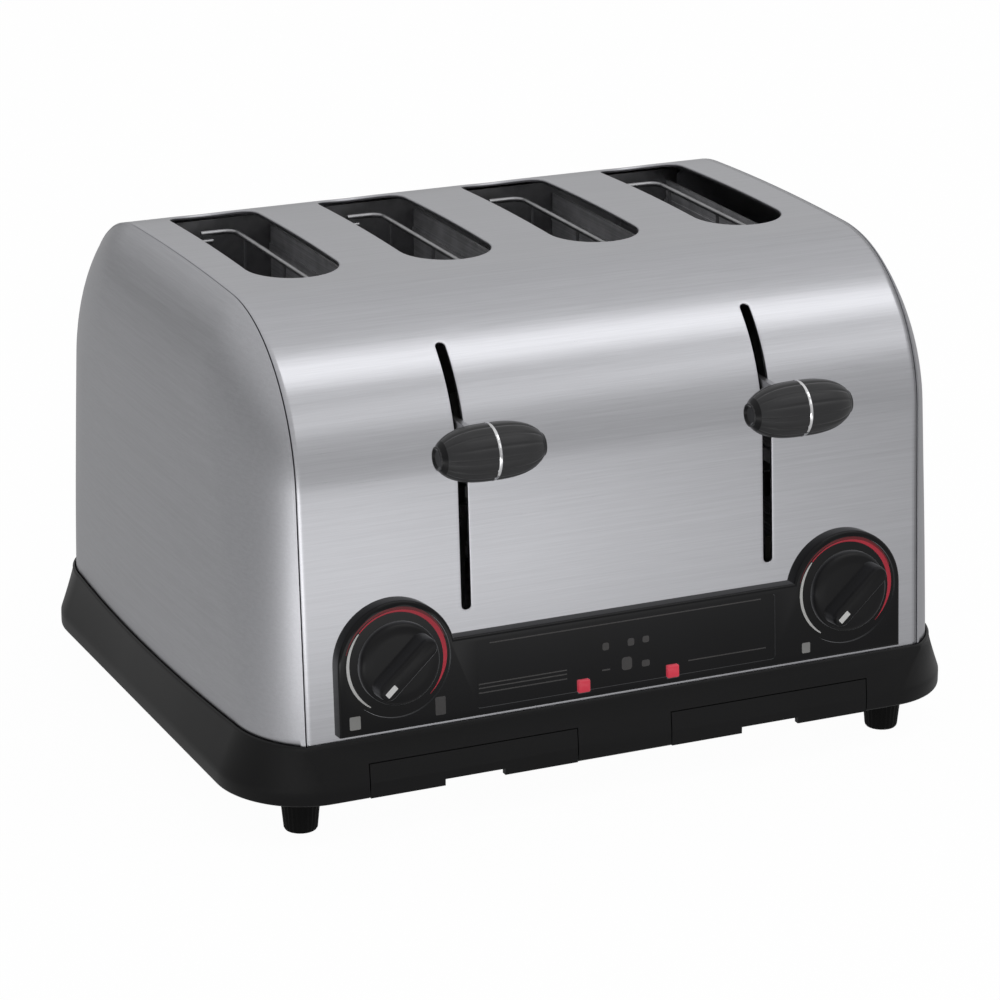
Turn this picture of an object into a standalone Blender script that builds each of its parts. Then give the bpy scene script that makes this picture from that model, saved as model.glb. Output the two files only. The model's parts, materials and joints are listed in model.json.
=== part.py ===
"""A four-slot pop-up toaster, built the way the real one is put together.

Units are metres. +X is to the right of someone facing the front, the front is at -Y and +Z is up.
Every piece is worked out about the middle of the body. The empty called toaster then moves them all so
that the origin lies on the table, under the middle of the space that the toaster takes up.
"""

import math

import bmesh
import bpy
from mathutils import Matrix, Vector

# Fits between pieces
FIT = 0.0003  # between a piece and what it seats on
RUN = 0.0006  # round anything that slides or turns
OVER = 0.002  # how far a cutter reaches past what it cuts

# Base skirt, a moulded ring that flares out at the bottom
BASE_WIDTH = 0.311
BASE_DEPTH = 0.2555
LIP_Z = 0.0412  # top of the skirt
SKIRT_BAND = 0.0060  # upright band at the bottom of the skirt
SKIRT_FLARE = 0.0019  # how far the front and back of the skirt spread below the lip
SIDE_FLARE = 0.0031
SKIRT_CORNER_X = 0.0334
SKIRT_CORNER_Y = 0.0370
SKIRT_WALL = 0.0025
SKIRT_EDGE = 0.0008
LIP_WIDTH = 0.0010
LIP_FIT = 0.0006  # between the lip and the body where the body passes through it
LIP_DROP = 0.0018
SHELF_WIDTH = 0.0110
SHELF_WALL = 0.0022
CORNER_STEPS = 8

# Feet
FOOT_HEIGHT = 0.0172  # from the table to the bottom of the skirt
FOOT_SIDE_INSET = 0.0284  # from the widest line of the skirt to the middle of a foot
FOOT_END_INSET = 0.02225
FOOT_RADIUS = 0.0081
FOOT_TAPER = 0.0012
FOOT_RIB = 0.0006
FOOT_RIBS = 12
FOOT_COLLAR = 0.0030

# Bottom plate
PLATE_RISE = 0.0018  # from the bottom of the skirt to the underside of the plate
PLATE_WALL = 0.0012
VENT_WIDTH = 0.0040
VENT_LENGTH = 0.0300
VENT_PITCH = 0.0090
VENTS = 7
VENT_INSET = 0.03575

# Sheet metal body
SHEET = 0.0010
TUCK = 0.0045  # how far the body stands down inside the lip
LEAN = math.radians(3.46)  # how far the front and back tilt inwards
ARCH_START_Z = 0.1389
ARCH_RADIUS = 0.0648
CROWN = math.radians(2.16)
ARCH_STEPS = 8
CROWN_STEPS = 2
END_WIDTH = 0.0194  # from the side of the body in to the seam of an end panel
SEAM_GAP = 0.0004
FLANGE = 0.0070
SIDE_BOW = 0.0032
ROLL_FOOT = 0.0330
ROLL_TOP = 0.0610
ROLL_ENTRY = math.radians(28.5)  # slope at which an end falls away from its seam
ROLL_STEPS = 5
SIDE_STEPS = 2
SPINE_Z = 0.1250  # top of the middle line that the faces of an end panel run to

# Bread slots
SLOTS = 4
SLOT_WIDTH = 0.0370
SLOT_FRONT_INSET = 0.0102  # from the chamber's front wall back to the slots
SLOT_REAR_INSET = 0.0035
ROUND_STEPS = 8

# Chamber walls
FRONT_BAY = 0.06795  # from the front of the body back to the chamber
REAR_BAY = 0.04675
BULKHEAD_WALL = 0.0012
BULKHEAD_SIDE = 0.0009  # between the ends of a bulkhead and the flanges of the end panels
BULKHEAD_HEAD = 0.0008
SHIELD_TOP_Z = 0.1800
SHIELD_WALL = 0.0010
SHIELD_INSET = 0.0004

# Element cards
CARD_BOTTOM_Z = 0.0500
CARD_TOP_Z = 0.1880
CARD_WALL = 0.0012
CARD_OUTER = 0.0220  # from the outer slot's middle to the outer card
CARD_EDGE = 0.00475  # from the outer card to the end of a bulkhead
WINDING_PROUD = 0.0006
WINDING_HEIGHT = 0.0040
WINDINGS = 7

# Wire bread guards
GUARD_TOP_Z = 0.1900
GUARD_BOTTOM_Z = 0.0400
GUARD_TOP_X = 0.0120
GUARD_BOTTOM_X = 0.0100
RAIL_RADIUS = 0.0011
WIRE_HALF = 0.0008
STAY_HALF = 0.0006
GUARD_WIRES = 5
WIRE_PITCH = 0.0290
GUARD_STAYS = 3
HOOK_RADIUS = 0.0050
HOOK_INSET = 0.0105  # from the chamber's rear wall to a hook
HOOK_PAST = 0.0025  # how far a hook reaches past the middle of its slot
HOOK_PASS = 0.0034  # how much lower the left guards stand, so that the hooks pass each other
HOOK_STEPS = 3
RAIL_SIDES = 6

# Levers and carriages
LEVER_Z = 0.1540
LEVER_PROUD = 0.01875  # from the front of the body out to the middle of a knob
LEVER_DROP = 0.0600
LEVER_LIFT = 0.0220
LEVER_SLOT_WIDTH = 0.0039
LEVER_SLOT_BOTTOM = 0.0848
LEVER_SLOT_TOP = 0.1835
ARM_WALL = 0.0025
ARM_HEIGHT = 0.0080
KNOB_HALF = 0.0214
KNOB_RADIUS = 0.0106
KNOB_END_RADIUS = 0.0044
KNOB_STEPS = 5
KNOB_SIDES = 20
KNOB_END_EDGE = 0.0010
RING_WIDTH = 0.0016
RING_WALL = 0.0012
RING_PROUD = 0.0003
CARRIAGE_GAP = 0.0254  # from the chamber's front wall out to the carriage plate
CARRIAGE_WALL = 0.0020
CARRIAGE_HALF = 0.0130
CARRIAGE_TOP_Z = 0.1580
CROSSBAR_HEIGHT = 0.0100
RACK_TOP_Z = 0.1060
LUG_HEIGHT = 0.0080
LUG_WALL = 0.0030
ARMATURE_RISE = 0.0120
ARMATURE_REACH = 0.0160
ARMATURE_WALL = 0.0020
ROD_RADIUS = 0.0030
ROD_SETBACK = 0.0077  # from the carriage plate back to the middle of its rod
ROD_SIDES = 16
ROD_HEAD = 0.0040
TAB_WALL = 0.0020
TOP_TAB_REACH = 0.0300
FOOT_TAB_REACH = 0.0440
RACK_WIDTH = 0.0080
RACK_HEIGHT = 0.0080
RACK_WALL = 0.0012
RACK_REACH = 0.0050  # how far the racks stand out behind the rear bulkhead
RACK_NOTCHES = 7
NOTCH_LENGTH = 0.0060
NOTCH_DEPTH = 0.0025
SPRING_OFFSET = 0.0190
SPRING_RADIUS = 0.0038
SPRING_WIRE = 0.0006
SPRING_CURLS = 9
SPRING_POINTS = 8
SPRING_SIDES = 6
MAGNET_HALF = 0.0080
MAGNET_DEPTH = 0.0150
COIL_RADIUS = 0.0055
COIL_SIDES = 16
POLE_HEIGHT = 0.0030

# Control fascia, laid out on the leaning front: x across, v up the front from the lip, n out of it
FASCIA_DEPTH = 0.0065
FASCIA_EDGE = 0.0010
FASCIA_BOTTOM_V = 0.0029
STRIP_TOP_V = 0.0353
DIAL_SIDE = 0.0354  # from the seam of an end panel in to the middle of a dial
DIAL_V = 0.0295
HOUSING_RADIUS = 0.0240
HOUSING_STEPS = 12
DIAL_POCKET_RADIUS = 0.0217
DIAL_POCKET_DEPTH = 0.0012
POCKET_SIDES = 32
LABEL_EDGE = 0.0080  # from a dial housing to the recess between them
LABEL_BOTTOM_V = 0.0060
LABEL_TOP_V = 0.0328
LABEL_DEPTH = 0.0006
LENS_X = 0.0191
LENS_V = 0.0079
LENS_SIZE = 0.0056
LENS_PROUD = 0.0006
LENS_EDGE = 0.0007
LENS_TAIL = 0.0040

# Dials
DIAL_RADIUS = 0.0162
DIAL_RIM_RADIUS = 0.0152
DIAL_BASE_HEIGHT = 0.0042
DIAL_BAR_WIDTH = 0.0078
DIAL_BAR_HEIGHT = 0.0125
DIAL_BAR_EDGE = 0.0012
DIAL_SIDES = 28
DIAL_REST = math.radians(222)  # where the pointer lies at rest, from +X towards +Z
SHAFT_RADIUS = 0.0030
SHAFT_SOCKET = 0.0060
SHAFT_SIDES = 16
SHAFT_HOLE_RADIUS = 0.0045
SHAFT_TAIL = 0.0200
CONTROL_HALF_X = 0.0150
CONTROL_HALF_V = 0.0140
CONTROL_DEPTH = 0.0260
CONTROL_STANDOFF = 0.0060
CONTROL_NECK_RADIUS = 0.0075

# Lamp board behind the fascia
BOARD_SIDE = 0.0165  # from the middle of a lever to the lamp board
BOARD_BOTTOM_V = 0.0015
BOARD_TOP_V = 0.0340
BOARD_SETBACK = 0.0120
BOARD_WALL = 0.0016
LAMP_RADIUS = 0.0020
LAMP_SIDES = 12
POST_HALF = 0.0020
POST_INSET = 0.0050

# Crumb trays
TRAY_SPLIT = 0.0200  # from the middle of the skirt to a tray
TRAY_CORNER = 0.0481  # from a tray to the widest line of the skirt
TRAY_TOP_Z = 0.0312
TRAY_GAP = 0.0004
TRAY_SIDE_GAP = 0.0010
TRAY_FLOOR = 0.0010
TRAY_RIM = 0.0080
FINGER_WIDTH = 0.0250
FINGER_HEIGHT = 0.0026

# Cable gland and terminals at the back
GLAND_SIDE = 0.0364  # from the seam of an end panel in to the middle of the gland
GLAND_V = 0.0200
GLAND_BORE = 0.0042
GLAND_NECK = 0.0065
GLAND_FLANGE = 0.0090
GLAND_FLANGE_WALL = 0.0030
GLAND_SIDES = 20
TERMINAL_SETBACK = 0.0225  # from the chamber's rear wall to the middle of the terminal block
TERMINAL_WIDTH = 0.0300
TERMINAL_DEPTH = 0.0140
TERMINAL_HEIGHT = 0.0160
TERMINAL_WAYS = 3
TERMINAL_NOTCH = 0.0060

# Heights and places that follow from the sizes above
LIP_REACH = LIP_WIDTH + LIP_FIT  # from the body out to the outside of the lip
BODY_DEPTH = BASE_DEPTH - 2 * (LIP_REACH + SKIRT_FLARE)
BODY_HALF_WIDTH = BASE_WIDTH / 2 - SIDE_FLARE - LIP_REACH
SEAM_X = BODY_HALF_WIDTH - END_WIDTH
ROLL_EDGE_Y = BODY_DEPTH / 2 - ROLL_FOOT
ROLL_START_X = SEAM_X + SEAM_GAP / 2
BODY_FOOT_Z = LIP_Z - TUCK
PLATE_Z = FOOT_HEIGHT + PLATE_RISE
FLOOR_Z = PLATE_Z + PLATE_WALL + FIT
FOOT_X = BASE_WIDTH / 2 - FOOT_SIDE_INSET
FOOT_Y = BASE_DEPTH / 2 - FOOT_END_INSET
VENT_Y = BASE_DEPTH / 2 - VENT_INSET
TRAY_WIDTH = BASE_WIDTH / 2 - TRAY_CORNER - TRAY_SPLIT
TRAY_X = TRAY_SPLIT + TRAY_WIDTH / 2
CHAMBER_FRONT = FRONT_BAY - BODY_DEPTH / 2
CHAMBER_REAR = BODY_DEPTH / 2 - REAR_BAY
CHAMBER_LOW_Y = CHAMBER_FRONT + FIT
CHAMBER_HIGH_Y = CHAMBER_REAR - FIT
BULKHEAD_HALF = SEAM_X - FLANGE - BULKHEAD_SIDE
SLOT_PITCH = 2 * (BULKHEAD_HALF - CARD_EDGE - CARD_OUTER) / (SLOTS - 1)
SLOT_CENTRES = [SLOT_PITCH * (number - (SLOTS - 1) / 2) for number in range(SLOTS)]
SLOT_FRONT = CHAMBER_FRONT + SLOT_FRONT_INSET
SLOT_REAR = CHAMBER_REAR - SLOT_REAR_INSET
SLOT_MID_Y = (SLOT_FRONT + SLOT_REAR) / 2
HOOK_REAR = CHAMBER_REAR - HOOK_INSET
RACK_Z = RACK_TOP_Z - RACK_HEIGHT
LEVER_X = SLOT_PITCH
LEVER_Y = -BODY_DEPTH / 2 - LEVER_PROUD
CARRIAGE_Y = CHAMBER_FRONT - CARRIAGE_GAP
ROD_Y = CARRIAGE_Y + ROD_SETBACK
TOP_TAB_Z = CARRIAGE_TOP_Z + LEVER_LIFT + RUN
FOOT_TAB_Z = FLOOR_Z + TRAY_RIM + RUN
FOOT_TAB_TOP = FOOT_TAB_Z + TAB_WALL
DIAL_X = SEAM_X - DIAL_SIDE
LABEL_HALF = DIAL_X - HOUSING_RADIUS - LABEL_EDGE
POCKET_FLOOR = FASCIA_DEPTH - DIAL_POCKET_DEPTH
DIAL_FOOT = POCKET_FLOOR + RUN
BOARD_HALF = LEVER_X - BOARD_SIDE
GLAND_X = SEAM_X - GLAND_SIDE
TERMINAL_Y = CHAMBER_REAR + TERMINAL_SETBACK
REACH_FRONT = LEVER_Y - KNOB_RADIUS - RING_PROUD
REACH_REAR = BASE_DEPTH / 2
ORIGIN_SHIFT = -(REACH_FRONT + REACH_REAR) / 2

# Frames that turn a flat outline to the plane it is drawn in: the outline's normal is the third column
ALONG_X = Matrix(((0, 0, 1, 0), (1, 0, 0, 0), (0, 1, 0, 0), (0, 0, 0, 1)))
ALONG_Y = Matrix(((1, 0, 0, 0), (0, 0, 1, 0), (0, 1, 0, 0), (0, 0, 0, 1)))
ALONG_Z = Matrix.Identity(4)

FINISHES = {  # colour, metallic, roughness
    "stainless": ((0.60, 0.60, 0.62, 1.0), 1.0, 0.34),
    "plated_steel": ((0.52, 0.52, 0.53, 1.0), 1.0, 0.40),
    "chrome": ((0.80, 0.80, 0.81, 1.0), 1.0, 0.08),
    "black_moulding": ((0.022, 0.022, 0.023, 1.0), 0.0, 0.52),
    "black_gloss": ((0.012, 0.012, 0.013, 1.0), 0.0, 0.16),
    "grip": ((0.045, 0.045, 0.047, 1.0), 0.0, 0.45),
    "foot_rubber": ((0.015, 0.015, 0.015, 1.0), 0.0, 0.72),
    "red_lens": ((0.75, 0.03, 0.05, 1.0), 0.0, 0.18),
    "mica": ((0.50, 0.46, 0.38, 1.0), 0.0, 0.55),
    "board": ((0.05, 0.16, 0.09, 1.0), 0.0, 0.40),
    "control_casing": ((0.62, 0.60, 0.54, 1.0), 0.0, 0.50),
}


def clear_scene():
    for obj in list(bpy.data.objects):
        bpy.data.objects.remove(obj, do_unlink=True)


def make_finish(name):
    """A Principled BSDF material from the table of finishes."""
    colour, metallic, roughness = FINISHES[name]
    finish = bpy.data.materials.new(name)
    finish.use_nodes = True
    shader = finish.node_tree.nodes["Principled BSDF"]
    shader.inputs["Base Color"].default_value = colour
    shader.inputs["Metallic"].default_value = metallic
    shader.inputs["Roughness"].default_value = roughness
    finish.diffuse_color = colour
    return finish


# Flat outlines


def arc(centre, radius, start, end, steps):
    """Points on an arc, both ends included, angles in radians."""
    angles = [start + (end - start) * step / steps for step in range(steps + 1)]
    return [(centre[0] + radius * math.cos(a), centre[1] + radius * math.sin(a)) for a in angles]


def circle(centre, radius, sides):
    return arc(centre, radius, 0, 2 * math.pi * (sides - 1) / sides, sides - 1)


def rectangle(low, high):
    return [(low[0], low[1]), (high[0], low[1]), (high[0], high[1]), (low[0], high[1])]


def side_x(y):
    """Half the width of the body at a place between front and rear: its sides bow out in the middle."""
    return BODY_HALF_WIDTH - SIDE_BOW * min((y / ROLL_EDGE_Y) ** 2, 1)


def mirrored(quarter):
    """A whole outline from its quarter beyond both middle lines, which starts on the X axis."""
    rear = quarter + [(-x, y) for x, y in reversed(quarter)]
    return rear + [(-x, -y) for x, y in rear[1:-1]]


def plan_outline(outset, steps=CORNER_STEPS):
    """The body from above, moved outwards square to itself: bowed sides, rolled corners, straight ends."""
    start, span = math.sin(ROLL_ENTRY), math.cos(ROLL_ENTRY)
    width = (side_x(ROLL_EDGE_Y) - ROLL_START_X) / (1 - start)
    depth = ROLL_FOOT / span
    quarter = []
    for part in range(SIDE_STEPS):
        y = ROLL_EDGE_Y * part / SIDE_STEPS
        quarter.append((side_x(y) + outset, y))
    for step in range(steps + 1):
        turn = math.pi / 2 + (ROLL_ENTRY - math.pi / 2) * step / steps
        x = ROLL_START_X + width * (math.sin(turn) - start)
        normal = Vector((math.sin(turn) / width, math.cos(turn) / depth)).normalized()
        quarter.append((x + outset * normal.x, ROLL_EDGE_Y + depth * math.cos(turn) + outset * normal.y))
    mitre = outset * normal.x / (1 + normal.y)
    quarter[-1] = (ROLL_START_X + mitre, BODY_DEPTH / 2 + outset)
    return mirrored(quarter)


def base_outline(inset, steps=CORNER_STEPS):
    """The widest line of the skirt, moved inwards: straight sides and quarter ellipses."""
    width = SKIRT_CORNER_X - inset
    depth = SKIRT_CORNER_Y - inset
    centre_x = BASE_WIDTH / 2 - SKIRT_CORNER_X
    centre_y = BASE_DEPTH / 2 - SKIRT_CORNER_Y
    quarter = [(BASE_WIDTH / 2 - inset, centre_y * part / SIDE_STEPS) for part in range(SIDE_STEPS)]
    for step in range(steps + 1):
        angle = math.pi / 2 * step / steps
        quarter.append((centre_x + width * math.cos(angle), centre_y + depth * math.sin(angle)))
    return mirrored(quarter)


def upright_stadium(centre, width, length, steps=ROUND_STEPS):
    """A slot outline with round ends, long along the second axis."""
    radius = width / 2
    reach = length / 2 - radius
    top = arc((centre[0], centre[1] + reach), radius, 0, math.pi, steps)
    bottom = arc((centre[0], centre[1] - reach), radius, math.pi, 2 * math.pi, steps)
    return top + bottom


def body_profile(inset, low_z=BODY_FOOT_Z):
    """The arch of the body in Y and Z, front foot to rear foot, moved inwards square to itself by inset.

    Each half is a leaning straight, an arc that turns it to the crown's slope, and a shallow crown arc.
    """
    lean_in = inset * math.cos(LEAN)
    foot_y = -BODY_DEPTH / 2 + (low_z + inset * math.sin(LEAN) - LIP_Z) * math.tan(LEAN) + lean_in
    start_y = -BODY_DEPTH / 2 + (ARCH_START_Z - LIP_Z) * math.tan(LEAN)
    centre_y = start_y + ARCH_RADIUS * math.cos(LEAN)
    centre_z = ARCH_START_Z - ARCH_RADIUS * math.sin(LEAN)
    half = [(foot_y, low_z)]
    half += arc((centre_y, centre_z), ARCH_RADIUS - inset, math.pi - LEAN, math.pi / 2 + CROWN, ARCH_STEPS)
    crown_y = centre_y - ARCH_RADIUS * math.sin(CROWN)
    crown_z = centre_z + ARCH_RADIUS * math.cos(CROWN)
    crown_radius = -crown_y / math.sin(CROWN)
    crown_centre = (0, crown_z - crown_radius * math.cos(CROWN))
    half += arc(crown_centre, crown_radius - inset, math.pi / 2 + CROWN, math.pi / 2, CROWN_STEPS)[1:]
    return half + [(-y, z) for y, z in reversed(half[:-1])]


def profile_z(y, inset):
    """Height of the inset arch over a place between front and rear."""
    points = body_profile(inset)
    for (y0, z0), (y1, z1) in zip(points, points[1:]):
        if y0 <= y <= y1:
            return z0 + (z1 - z0) * (y - y0) / (y1 - y0)
    return points[0][1]


# Solids


def prism(outline, low, high, frame=ALONG_Z):
    """A closed bmesh: the outline at two heights along the frame's third axis, with walls between."""
    mesh = bmesh.new()
    rings = [[mesh.verts.new(frame @ Vector((x, y, h))) for x, y in outline] for h in (low, high)]
    count = len(outline)
    mesh.faces.new(rings[0][::-1])
    mesh.faces.new(rings[1])
    for k in range(count):
        mesh.faces.new((rings[0][k], rings[0][(k + 1) % count], rings[1][(k + 1) % count], rings[1][k]))
    return outward(mesh)


def box(low, high):
    return prism(rectangle(low[:2], high[:2]), low[2], high[2])


def rod(centre, radius, low, high, sides, frame=ALONG_Z):
    return prism(circle(centre, radius, sides), low, high, frame)


def outward(mesh):
    bmesh.ops.recalc_face_normals(mesh, faces=mesh.faces)
    return mesh


def merged(meshes):
    """Several closed meshes put into one. They stay apart until a Boolean joins them."""
    whole = bmesh.new()
    for mesh in meshes:
        part = bpy.data.meshes.new("part")
        mesh.to_mesh(part)
        mesh.free()
        whole.from_mesh(part)
        bpy.data.meshes.remove(part)
    return whole


def loft(rings, closed_section=False):
    """Skins equal rings of points. A closed section makes a tube without ends, an open one gets end caps."""
    mesh = bmesh.new()
    verts = [[mesh.verts.new(point) for point in ring] for ring in rings]
    count = len(rings[0])
    pairs = list(zip(verts, verts[1:]))
    if closed_section:
        pairs.append((verts[-1], verts[0]))
    else:
        mesh.faces.new(verts[0][::-1])
        mesh.faces.new(verts[-1])
    for first, second in pairs:
        for k in range(count):
            mesh.faces.new((first[k], first[(k + 1) % count], second[(k + 1) % count], second[k]))
    return outward(mesh)


def lathe(section, sides, frame=ALONG_Z, closed_section=False):
    """Turns a section of (radius, height) pairs about the frame's third axis."""
    rings = []
    for radius, height in section:
        rings.append([frame @ Vector((x, y, height)) for x, y in circle((0, 0), radius, sides)])
    return loft(rings, closed_section)


def tube(points, radius, sides):
    """A wire along a path. Each section is square to the mean of its two runs, with the least twist."""
    path = [Vector(point) for point in points]
    runs = [(b - a).normalized() for a, b in zip(path, path[1:])]
    normal = runs[0].orthogonal().normalized()
    rings = []
    for k, point in enumerate(path):
        before = runs[max(k - 1, 0)]
        after = runs[min(k, len(runs) - 1)]
        along = (before + after).normalized()
        normal = (normal - along * normal.dot(along)).normalized()
        side = along.cross(normal)
        ring = circle((0, 0), radius, sides)
        rings.append([point + normal * x + side * y for x, y in ring])
    return loft(rings)


# Objects


class Assembly:
    """Keeps the empty that carries every piece, and the finishes in use."""

    def __init__(self):
        self.finishes = {}
        self.root = bpy.data.objects.new("toaster", None)
        self.root.location = (0, ORIGIN_SHIFT, 0)
        bpy.context.scene.collection.objects.link(self.root)

    def finish(self, name):
        if name not in self.finishes:
            self.finishes[name] = make_finish(name)
        return self.finishes[name]

    def piece(self, name, mesh, finish, origin=(0, 0, 0), smooth=True):
        """Makes a named piece from a bmesh drawn in body coordinates, with its origin where it is wanted."""
        data = bpy.data.meshes.new(name)
        mesh.to_mesh(data)
        mesh.free()
        data.transform(Matrix.Translation(-Vector(origin)))
        if smooth:
            data.shade_smooth()
            data.set_sharp_from_angle(angle=math.radians(32))
        data.materials.append(self.finish(finish))
        obj = bpy.data.objects.new(name, data)
        obj.location = origin
        obj.parent = self.root
        bpy.context.scene.collection.objects.link(obj)
        return obj

    def helper(self, name, mesh):
        """A cutter or a part to be joined: it shapes other pieces and isn't one itself."""
        data = bpy.data.meshes.new(name)
        mesh.to_mesh(data)
        mesh.free()
        obj = bpy.data.objects.new(name, data)
        obj.parent = self.root
        obj.hide_render = True
        obj.display_type = "WIRE"
        bpy.context.scene.collection.objects.link(obj)
        return obj

    def boolean(self, piece, mesh, operation):
        modifier = piece.modifiers.new(operation.lower(), "BOOLEAN")
        modifier.operation = operation
        modifier.object = self.helper(f"{piece.name}_{operation.lower()}_{len(piece.modifiers)}", mesh)

    def cut(self, piece, meshes):
        self.boolean(piece, merged(meshes), "DIFFERENCE")

    def join(self, piece, meshes):
        self.boolean(piece, merged(meshes), "UNION")

    def bevel(self, piece, width, segments=1):
        modifier = piece.modifiers.new("edges", "BEVEL")
        modifier.width = width
        modifier.segments = segments
        modifier.limit_method = "ANGLE"
        modifier.angle_limit = math.radians(60)


def front_frame(x=0, v=0, side=-1):
    """Axes of the leaning front (side -1) or rear (side 1): x across, v up the face, n out of it."""
    across = Vector((-side, 0, 0))
    up = Vector((0, -side * math.sin(LEAN), math.cos(LEAN)))
    out = Vector((0, side * math.cos(LEAN), math.sin(LEAN)))
    origin = Vector((0, side * BODY_DEPTH / 2, LIP_Z)) + across * x + up * v
    frame = Matrix.Identity(4)
    for column, axis in enumerate((across, up, out)):
        frame.col[column] = (*axis, 0)
    frame.translation = origin
    return frame


def side_name(side):
    return "left" if side < 0 else "right"


# Body


def make_wrapper(toaster):
    """The front, top and back are one bent sheet, pierced for bread, levers, dials, lamps and the cord."""
    outline = body_profile(0) + body_profile(SHEET)[::-1]
    reach = SEAM_X - SEAM_GAP / 2
    wrapper = toaster.piece("wrapper", prism(outline, -reach, reach, ALONG_X), "stainless")
    top_z = profile_z(0, 0)
    cutters = []
    for centre in SLOT_CENTRES:
        slot = upright_stadium((centre, SLOT_MID_Y), SLOT_WIDTH, SLOT_REAR - SLOT_FRONT)
        cutters.append(prism(slot, top_z - ARCH_RADIUS / 2, top_z + OVER))
    lever_mid_z = (LEVER_SLOT_TOP + LEVER_SLOT_BOTTOM) / 2
    for side in (-1, 1):
        slot = upright_stadium(
            (side * LEVER_X, lever_mid_z), LEVER_SLOT_WIDTH, LEVER_SLOT_TOP - LEVER_SLOT_BOTTOM
        )
        cutters.append(prism(slot, -BODY_DEPTH / 2 - OVER, SLOT_FRONT - ARCH_RADIUS / 2, ALONG_Y))
        dial = front_frame(side * DIAL_X, DIAL_V)
        cutters.append(rod((0, 0), SHAFT_HOLE_RADIUS, -OVER, OVER, SHAFT_SIDES, dial))
        lamp = front_frame(side * LENS_X, LENS_V)
        half = LENS_SIZE / 2
        cutters.append(prism(rectangle((-half, -half), (half, half)), -OVER, OVER, lamp))
    gland = front_frame(-GLAND_X, GLAND_V, 1)
    cutters.append(rod((0, 0), GLAND_NECK, -OVER, OVER, GLAND_SIDES, gland))
    toaster.cut(wrapper, cutters)


def panel_rings(side):
    """Rings of an end panel from the tucked flange, over the rolled edge, to the middle of the bowed side."""
    base = body_profile(0)
    length = [0.0]
    for a, b in zip(base, base[1:]):
        length.append(length[-1] + math.dist(a, b))
    shares = [min(s, length[-1] - s) / (length[-1] / 2) for s in length]
    drop = SHEET + FIT
    start, span = math.sin(ROLL_ENTRY), math.cos(ROLL_ENTRY)

    def ring(x, inset_of):
        points = []
        for k, share in enumerate(shares):
            y, z = body_profile(inset_of(share))[k]
            points.append((x(y), y, z))
        return points

    def roll_depth(share):
        ease = share * share * (3 - 2 * share)
        return (ROLL_FOOT + (ROLL_TOP - ROLL_FOOT) * ease) / span

    rings = [ring(lambda y: SEAM_X - FLANGE, lambda share: drop)]
    rings.append(ring(lambda y: ROLL_START_X, lambda share: drop))
    for step in range(ROLL_STEPS + 1):
        turn = ROLL_ENTRY + (math.pi / 2 - ROLL_ENTRY) * step / ROLL_STEPS
        rise = (math.sin(turn) - start) / (1 - start)
        rings.append(
            ring(
                lambda y, rise=rise: ROLL_START_X + (side_x(y) - ROLL_START_X) * rise,
                lambda share, turn=turn: roll_depth(share) * (span - math.cos(turn)),
            )
        )
    last = rings[-1]
    for step in range(1, SIDE_STEPS + 1):
        inward = step / SIDE_STEPS
        points = []
        for (_, y, z), share in zip(last, shares):
            spine_z = BODY_FOOT_Z + share * (SPINE_Z - BODY_FOOT_Z)
            points.append((side_x(y * (1 - inward)), y * (1 - inward), z + (spine_z - z) * inward))
        rings.append(points)
    return [[(side * x, y, z) for x, y, z in points] for points in rings]


def make_end_panel(toaster, side):
    """A dished end: a skin over its rings, folded shut along the upright middle line, then given its wall."""
    rings = panel_rings(side)
    mesh = bmesh.new()
    verts = [[mesh.verts.new(point) for point in ring] for ring in rings]
    for first, second in zip(verts, verts[1:]):
        for k in range(len(first) - 1):
            mesh.faces.new((first[k], first[k + 1], second[k + 1], second[k]))
    bmesh.ops.remove_doubles(mesh, verts=mesh.verts, dist=SHEET / 100)
    bmesh.ops.recalc_face_normals(mesh, faces=mesh.faces)
    outer = max(mesh.faces, key=lambda face: abs(face.calc_center_median().x))
    if outer.normal.x * side < 0:
        bmesh.ops.reverse_faces(mesh, faces=mesh.faces)
    panel = toaster.piece(f"{side_name(side)}_end_panel", mesh, "stainless")
    wall = panel.modifiers.new("wall", "SOLIDIFY")
    wall.thickness = SHEET
    wall.offset = -1
    wall.use_even_offset = True


# Base


def skirt_rise(z):
    """How far a height is from the skirt's widest band (0) up to its lip (1)."""
    start = FOOT_HEIGHT + SKIRT_BAND
    return min(max(z - start, 0) / (LIP_Z - LIP_DROP - start), 1)


def skirt_outline(inset, rise):
    """The plan of the skirt, moved inwards, at a height between its straight-sided base and its lip."""
    pairs = zip(base_outline(inset), plan_outline(LIP_REACH - inset))
    return [(a[0] + (b[0] - a[0]) * rise, a[1] + (b[1] - a[1]) * rise) for a, b in pairs]


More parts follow.
